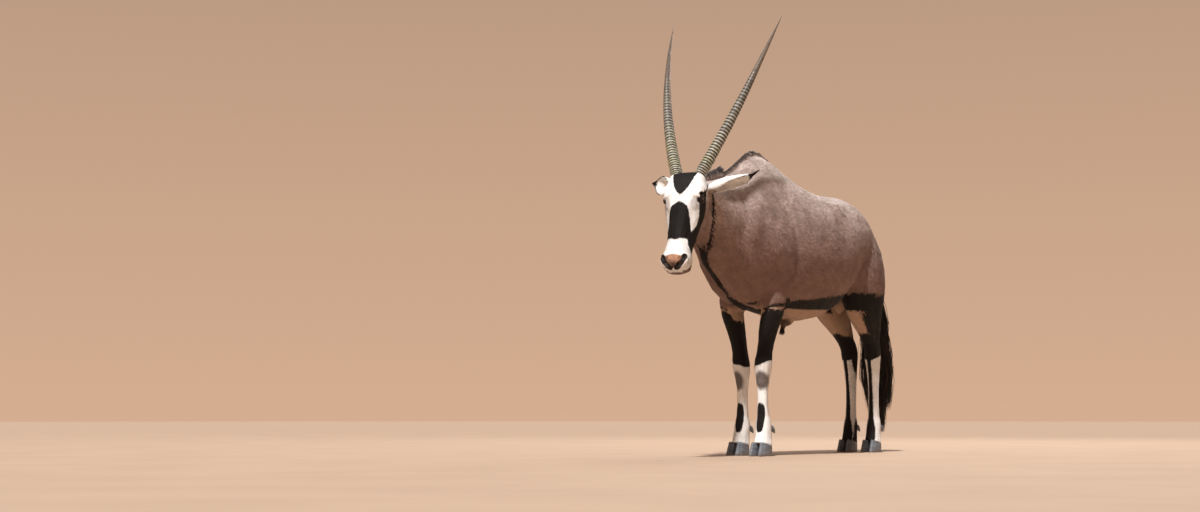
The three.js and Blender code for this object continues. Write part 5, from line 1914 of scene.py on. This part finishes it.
def coat_lie(points):
    """The way the hair points at each place, in world directions."""
    y, z = to_body(points)[:, 1], to_body(points)[:, 2]
    head = to_head(points)
    way = np.tile((0.0, 0.86, -0.42), (len(points), 1))
    turns = (
        ((0, 1.0, -0.05), fade(z, 1020, 1100)),
        ((0, 0.72, -0.66), fade(-y, 120, 260)),
        ((0, 0.30, -1.0), fade(-y, 60, 180) * fade(-z, -820, -700)),
        ((0, 0.36, -1.0), fade(y, 500, 640) * fade(-z, -980, -860)),
        ((0, 0.15, -1.0), fade(y, 720, 800) * fade(-z, -1040, -940)),
        ((0, 1.0, -0.05), fade(-z, -640, -600) * fade(y, 20, 60) * fade(-y, -560, -480)),
        ((0, 0.12, -1.0), fade(-z, -600, -540) * np.where(y > 400, 1.0, fade(-y, -60, -20))),
    )
    for turn, share in turns:
        way = way + (np.array(turn) - way) * share[:, None]
    outwards = 0.22 * np.sign(head[:, 0])
    backwards = at(head[:, 1], ((-60, 0.05), (0, 0.4), (60, 1.0)))
    along_face = np.where(head[:, 2] > -90, 0.8, -0.9)
    face = head_ways(np.stack((outwards, backwards, along_face), axis=1))
    skull = (skull_share(points) * (y < -300))[:, None]
    way = way * (1 - skull) + face * skull
    for side in EARS:
        way[on_ear(points, side)] = ear_frame(side)[1]
    return way


lie = coat_lie(skin_points)
print("mean lie of the hair:", lie.mean(axis=0).round(2))

# %% [markdown]
# The map of the coat. Each tuft gets its own patch of the map OFBake. The patch lies where the tuft's root
# lies on an unwrap of the skin: round and along for the body, and strips of their own for legs, head
# and ears.

# %% Unwrap of the skin
BODY_MIDDLE = ((-480, 930), (-250, 900), (0, 850), (500, 850))


def around(first, second):
    """The angle of a place round an axis, as a share of a whole turn."""
    return np.arctan2(first, second) / (2 * math.pi) + 0.5


def coat_map(points):
    body, head = to_body(points), to_head(points)
    x, y, z = body.T
    out, behind, _ = leg_places(body)
    spot = np.stack((around(x - at(y, NECK_MIDDLE), z - at(y, BODY_MIDDLE)), (y + 500) / 1450), axis=1)
    number = (x > 0) + 2 * (y > 300)
    legs = np.stack(((number + around(out, behind)) / 4, z / 600), axis=1)
    spot = np.where((z < 585)[:, None], legs, spot)
    skull = (skull_share(points) > 0.5) & (y < -300)
    face = np.stack((0.8 * around(head[:, 0], -head[:, 1]), (60 - head[:, 2]) / 480), axis=1)
    spot = np.where(skull[:, None], face, spot)
    for number, side in enumerate(EARS):
        share, across, cup = ear_place(points, side)
        ear = np.stack((0.9 + 0.08 * np.arctan2(across, -cup) / math.pi, 0.5 * number + 0.45 * share), axis=1)
        spot = np.where(on_ear(points, side)[:, None], ear, spot)
    return np.clip(spot, 0, 1)


print("middle of the unwrap:", coat_map(skin_points).mean(axis=0).round(2))

# %% [markdown]
# The short coat. Small thin tufts lie over the skin on every side. Each is a sliver with one ring, rooted
# just under the skin and laid along the lie of the hair. Roots are spread at random, closer together where
# the hair is short. Each tuft wears the markings of its root, and six pieces share the animal between them.

# %% Short coat
TUFT_ROOT_UNDER = 0.45
TUFT_MIDDLE = 0.46
TUFT_THIN = 0.16
QUICK_WIDER = 1.0

corners = skin_points[corner_index]
centres = corners.mean(axis=1)
areas = np.linalg.norm(np.cross(corners[:, 1] - corners[:, 0], corners[:, 2] - corners[:, 0]), axis=1) / 2
reaches = coat_reach(centres)
centre_marks = markings(centres)
hairy = (centre_marks["bare"] < -1) & (centre_marks["lid"] < 1) & (to_body(centres)[:, 2] > 48)


def tuft_roots(here, count, luck):
    """Places for tufts on the chosen triangles, and the skin's normals there."""
    weight = areas * hairy * here / reaches**1.7
    picked = luck.choice(len(weight), count, p=weight / weight.sum())
    share = np.sort(luck.uniform(0, 1, (count, 2)), axis=1)
    share = np.stack((share[:, 0], share[:, 1] - share[:, 0], 1 - share[:, 1]), axis=1)[:, :, None]
    root = (corners[picked] * share).sum(axis=1)
    return root, unit((skin_normals[corner_index[picked]] * share).sum(axis=1))


def tuft_ways(root, normal, luck):
    """The lie of the hair at each root, flat on the skin, with soft swirls in it."""
    way = coat_lie(root)
    way = unit(way - normal * (way * normal).sum(axis=1, keepdims=True) + 1e-6)
    x, y, z = to_body(root).T
    swirl = 0.17 * np.sin(x / 23 + y / 31 + 2.2 * np.sin(z / 37)) + luck.normal(0, 0.15, len(root))
    return way * np.cos(swirl)[:, None] + np.cross(normal, way) * np.sin(swirl)[:, None]


def tuft_layers(root, luck):
    """The markings of each root, with black hairs strayed over its edge, and a tone that varies in clouds."""
    layers = {key: values for key, values in clipped(markings(root)).items() if key not in ("bare", "lid")}
    layers["black"] = layers["black"] + luck.normal(0, 1, len(root)) * (0.7 + 1.9 * bodily(root))
    x, y, z = to_body(root).T
    cloud = np.sin(x / 15 + 1.9 * np.sin(z / 21)) + np.sin(y / 13 + 2.3 * np.sin(x / 27 + z / 19))
    layers["tone"] = np.clip(0.5 + 0.13 * cloud + luck.normal(0, 0.17, len(root)), 0, 1)
    return layers


def coat_piece(name, here, count, seed):
    """One joined piece of tufts rooted on the chosen triangles of the skin."""
    luck = np.random.default_rng(seed)
    count = count
    root, normal = tuft_roots(here, count, luck)
    way = tuft_ways(root, normal, luck)
    reach = coat_reach(root) * luck.uniform(0.72, 1.18, count)
    depth = np.where(ear_share(root) > 0.5, 0.9, coat_depth(root))
    lift = depth * luck.uniform(0.22, 0.55, count)
    middle = laid(root + way * (TUFT_MIDDLE * reach / 1000)[:, None], 0.72 * lift / 1000)
    tip = laid(root + way * (reach / 1000)[:, None], lift / 1000)
    paths = np.stack((root - normal * (TUFT_ROOT_UNDER / 1000), middle, tip), axis=1)
    half = (0.34 + 0.085 * reach) * luck.uniform(0.8, 1.2, count) * QUICK_WIDER
    layers = tuft_layers(root, luck)
    shade = unit(normal + luck.normal(0, 0.11, normal.shape) + 0.10 * way)
    piece = slivers(name, paths, (half / 1000)[:, None], normal, coat_map(root), layers, TUFT_THIN, shade)
    print(name, len(piece.data.polygons), "triangles")
    return piece


x, y, z = to_body(centres).T
skull_here = ((1 - bodily(centres)) > 0.5) & (y < -300) & (z > 600)
low_here = (z < 585) & ~skull_here
neck_here = (y < -150) & ~skull_here & ~low_here
rear_here = (y > 430) & ~low_here
trunk_here = ~(skull_here | low_here | neck_here | rear_here)
coat_pieces = [
    coat_piece("coat_head", skull_here, 33000, 101),
    coat_piece("coat_neck", neck_here, 29000, 102),
    coat_piece("coat_trunk_left", trunk_here & (x > 0), 33000, 103),
    coat_piece("coat_trunk_right", trunk_here & (x <= 0), 33000, 104),
    coat_piece("coat_rump", rear_here, 33000, 105),
    coat_piece("coat_legs", low_here, 33000, 106),
]

# %% [markdown]
# The finish of the short coat. It takes its colour from the same group as the skin, so both wear one pattern,
# and every tuft is a little lighter or darker than its neighbours and paler towards its tip.

# %% Short coat material
def new_coat_finish():
    finish, board, place = new_finish("short_coat")
    coat = board.add("ShaderNodeGroup", {"Raggedness": 1.0}, node_tree=coat_colour).outputs["Color"]
    tone = board.mask(board.layer("tone"), 0.0, 1.0, 0.78, 1.20)
    bleach = board.mask(board.layer("along"), 0.0, 1.0, 0.96, 1.08)
    colour = board.shaded(coat, board.times(tone, bleach))
    grain = board.noise(place, 700.0, 2.0, 0.6)
    rough = board.mask(grain, 0.2, 0.8, 0.52, 0.72)
    board.surface(colour, rough, grain, 0.2, 0.0005, {"Specular IOR Level": COAT_SPECULAR})
    return finish


dress(coat_pieces, new_coat_finish())
print("short coat:", sum(len(piece.data.polygons) for piece in coat_pieces), "triangles")

# %% [markdown]
# Small hair. Lashes fringe the upper lids, long white hair guards the cups of the ears, and a dark tuft hangs
# from the sheath. They are few, so each hair has a path of its own: root, tip, and three rings between.

# %% One way to make small hair
SMALL_STEPS = np.array((-0.04, 0.3, 0.65, 1.0))
SMALL_TAPER = np.array((1.0, 0.85, 0.55))


def small_hair(name, root, way, bend, length, half, flat, finish, seed):
    """Hairs from `root` along `way`, which bend towards `bend`. All sizes are in millimetres."""
    luck = np.random.default_rng(seed)
    count = len(root)
    length = length * luck.uniform(0.7, 1.1, count)
    way = unit(way + luck.normal(0, 0.10, way.shape))
    knots = root[:, None] + way[:, None] * (length[:, None] * SMALL_STEPS)[:, :, None]
    knots = knots + np.array(bend) * (length[:, None] * SMALL_STEPS**2)[:, :, None]
    paths = to_world(smooth_path(knots, len(SMALL_TAPER) + 2))
    widths = half * SMALL_TAPER[None] * np.ones((count, 1)) / 1000
    piece = slivers(name, paths, widths, flat, coat_map(to_world(root)), {"tone": luck.uniform(0, 1, count)})
    dress([piece], finish)
    print(name, len(piece.data.polygons), "triangles")


dark_finish = new_hair_finish(
    "dark_small_hair",
    root_colour=(0.012, 0.009, 0.008, 1),
    tip_colour=(0.020, 0.013, 0.010, 1),
    turn=(0.3, 0.9),
    bleached=(0.05, 0.03, 0.02, 1),
)
white_finish = new_hair_finish(
    "white_ear_hair",
    root_colour=(0.62, 0.58, 0.54, 1),
    tip_colour=(0.78, 0.755, 0.73, 1),
    turn=(0.1, 0.6),
    bleached=(0.6, 0.5, 0.4, 1),
)
spread = np.random.default_rng(77)
print("finishes for dark and white small hair")

# %% [markdown]
# Lashes stand out from the rim of the upper lid. The ear's hair springs from both inner edges of the cup
# and leans in over it. The tuft of the sheath hangs down from a round patch under the belly.

# %% Lashes, ear hair and sheath tuft
LASHES = 46
LASH_LINE = ((58, -43, -103), (64, -35, -86), (71, -18, -82), (78, -2, -93))
LASH_WAY = (0.86, -0.46, 0.12)
EAR_HAIRS = 420
SHEATH_HAIRS = 260
SHEATH_ROOT = (0, 218, 515)
SHEATH_WAY = (0, -0.30, -0.9)
SHEATH_RADIUS = 7


def lashes(side):
    mirror = (EAR_SIDE[side], 1, 1)
    root = smooth_path(np.array([LASH_LINE], float), LASHES)[0]
    root = root + spread.normal(0, 0.5, root.shape)
    way = head_ways(np.tile(LASH_WAY, (LASHES, 1)) * mirror)
    flat = np.tile((0.0, 0.3, 1.0), (LASHES, 1))
    root = turned(root * mirror, HEAD_POSE)
    small_hair(f"lash_hair_{side}", root, way, (0, 0, 0.25), 12, 0.32, flat, dark_finish, 21 + EAR_SIDE[side])


def ear_fringe(side):
    _, along, across, facing = ear_frame(side)
    share = spread.uniform(0.10, 0.68, EAR_HAIRS)
    edge = spread.choice((-1.0, 1.0), EAR_HAIRS) * spread.uniform(0.55, 0.96, EAR_HAIRS)
    turn = np.radians(at(share, EAR_WRAP)) * edge
    inward = unit(-across * np.sin(turn)[:, None] + facing * 0.3)
    way = unit(0.85 * along + 0.45 * inward)
    root = ear_wall(side, share, turn)
    seed = 31 + EAR_SIDE[side]
    small_hair(f"ear_hair_{side}", root, way, (0, 0, -0.12), 30, 0.38, inward, white_finish, seed)


def sheath_tuft():
    turn = spread.uniform(0, 2 * math.pi, SHEATH_HAIRS)
    ring = SHEATH_RADIUS * np.sqrt(spread.uniform(0, 1, SHEATH_HAIRS))[:, None]
    outwards = np.stack((np.cos(turn), np.sin(turn), 0 * turn), axis=1)
    root = SHEATH_ROOT + ring * outwards * (1, 1.4, 1)
    way = SHEATH_WAY + 0.1 * outwards
    small_hair("sheath_hair", root, way, (0, 0.10, -0.1), 30, 0.8, outwards, dark_finish, 41)


for side in EARS:
    lashes(side)
    ear_fringe(side)
sheath_tuft()

# %% [markdown]
# The finished model.
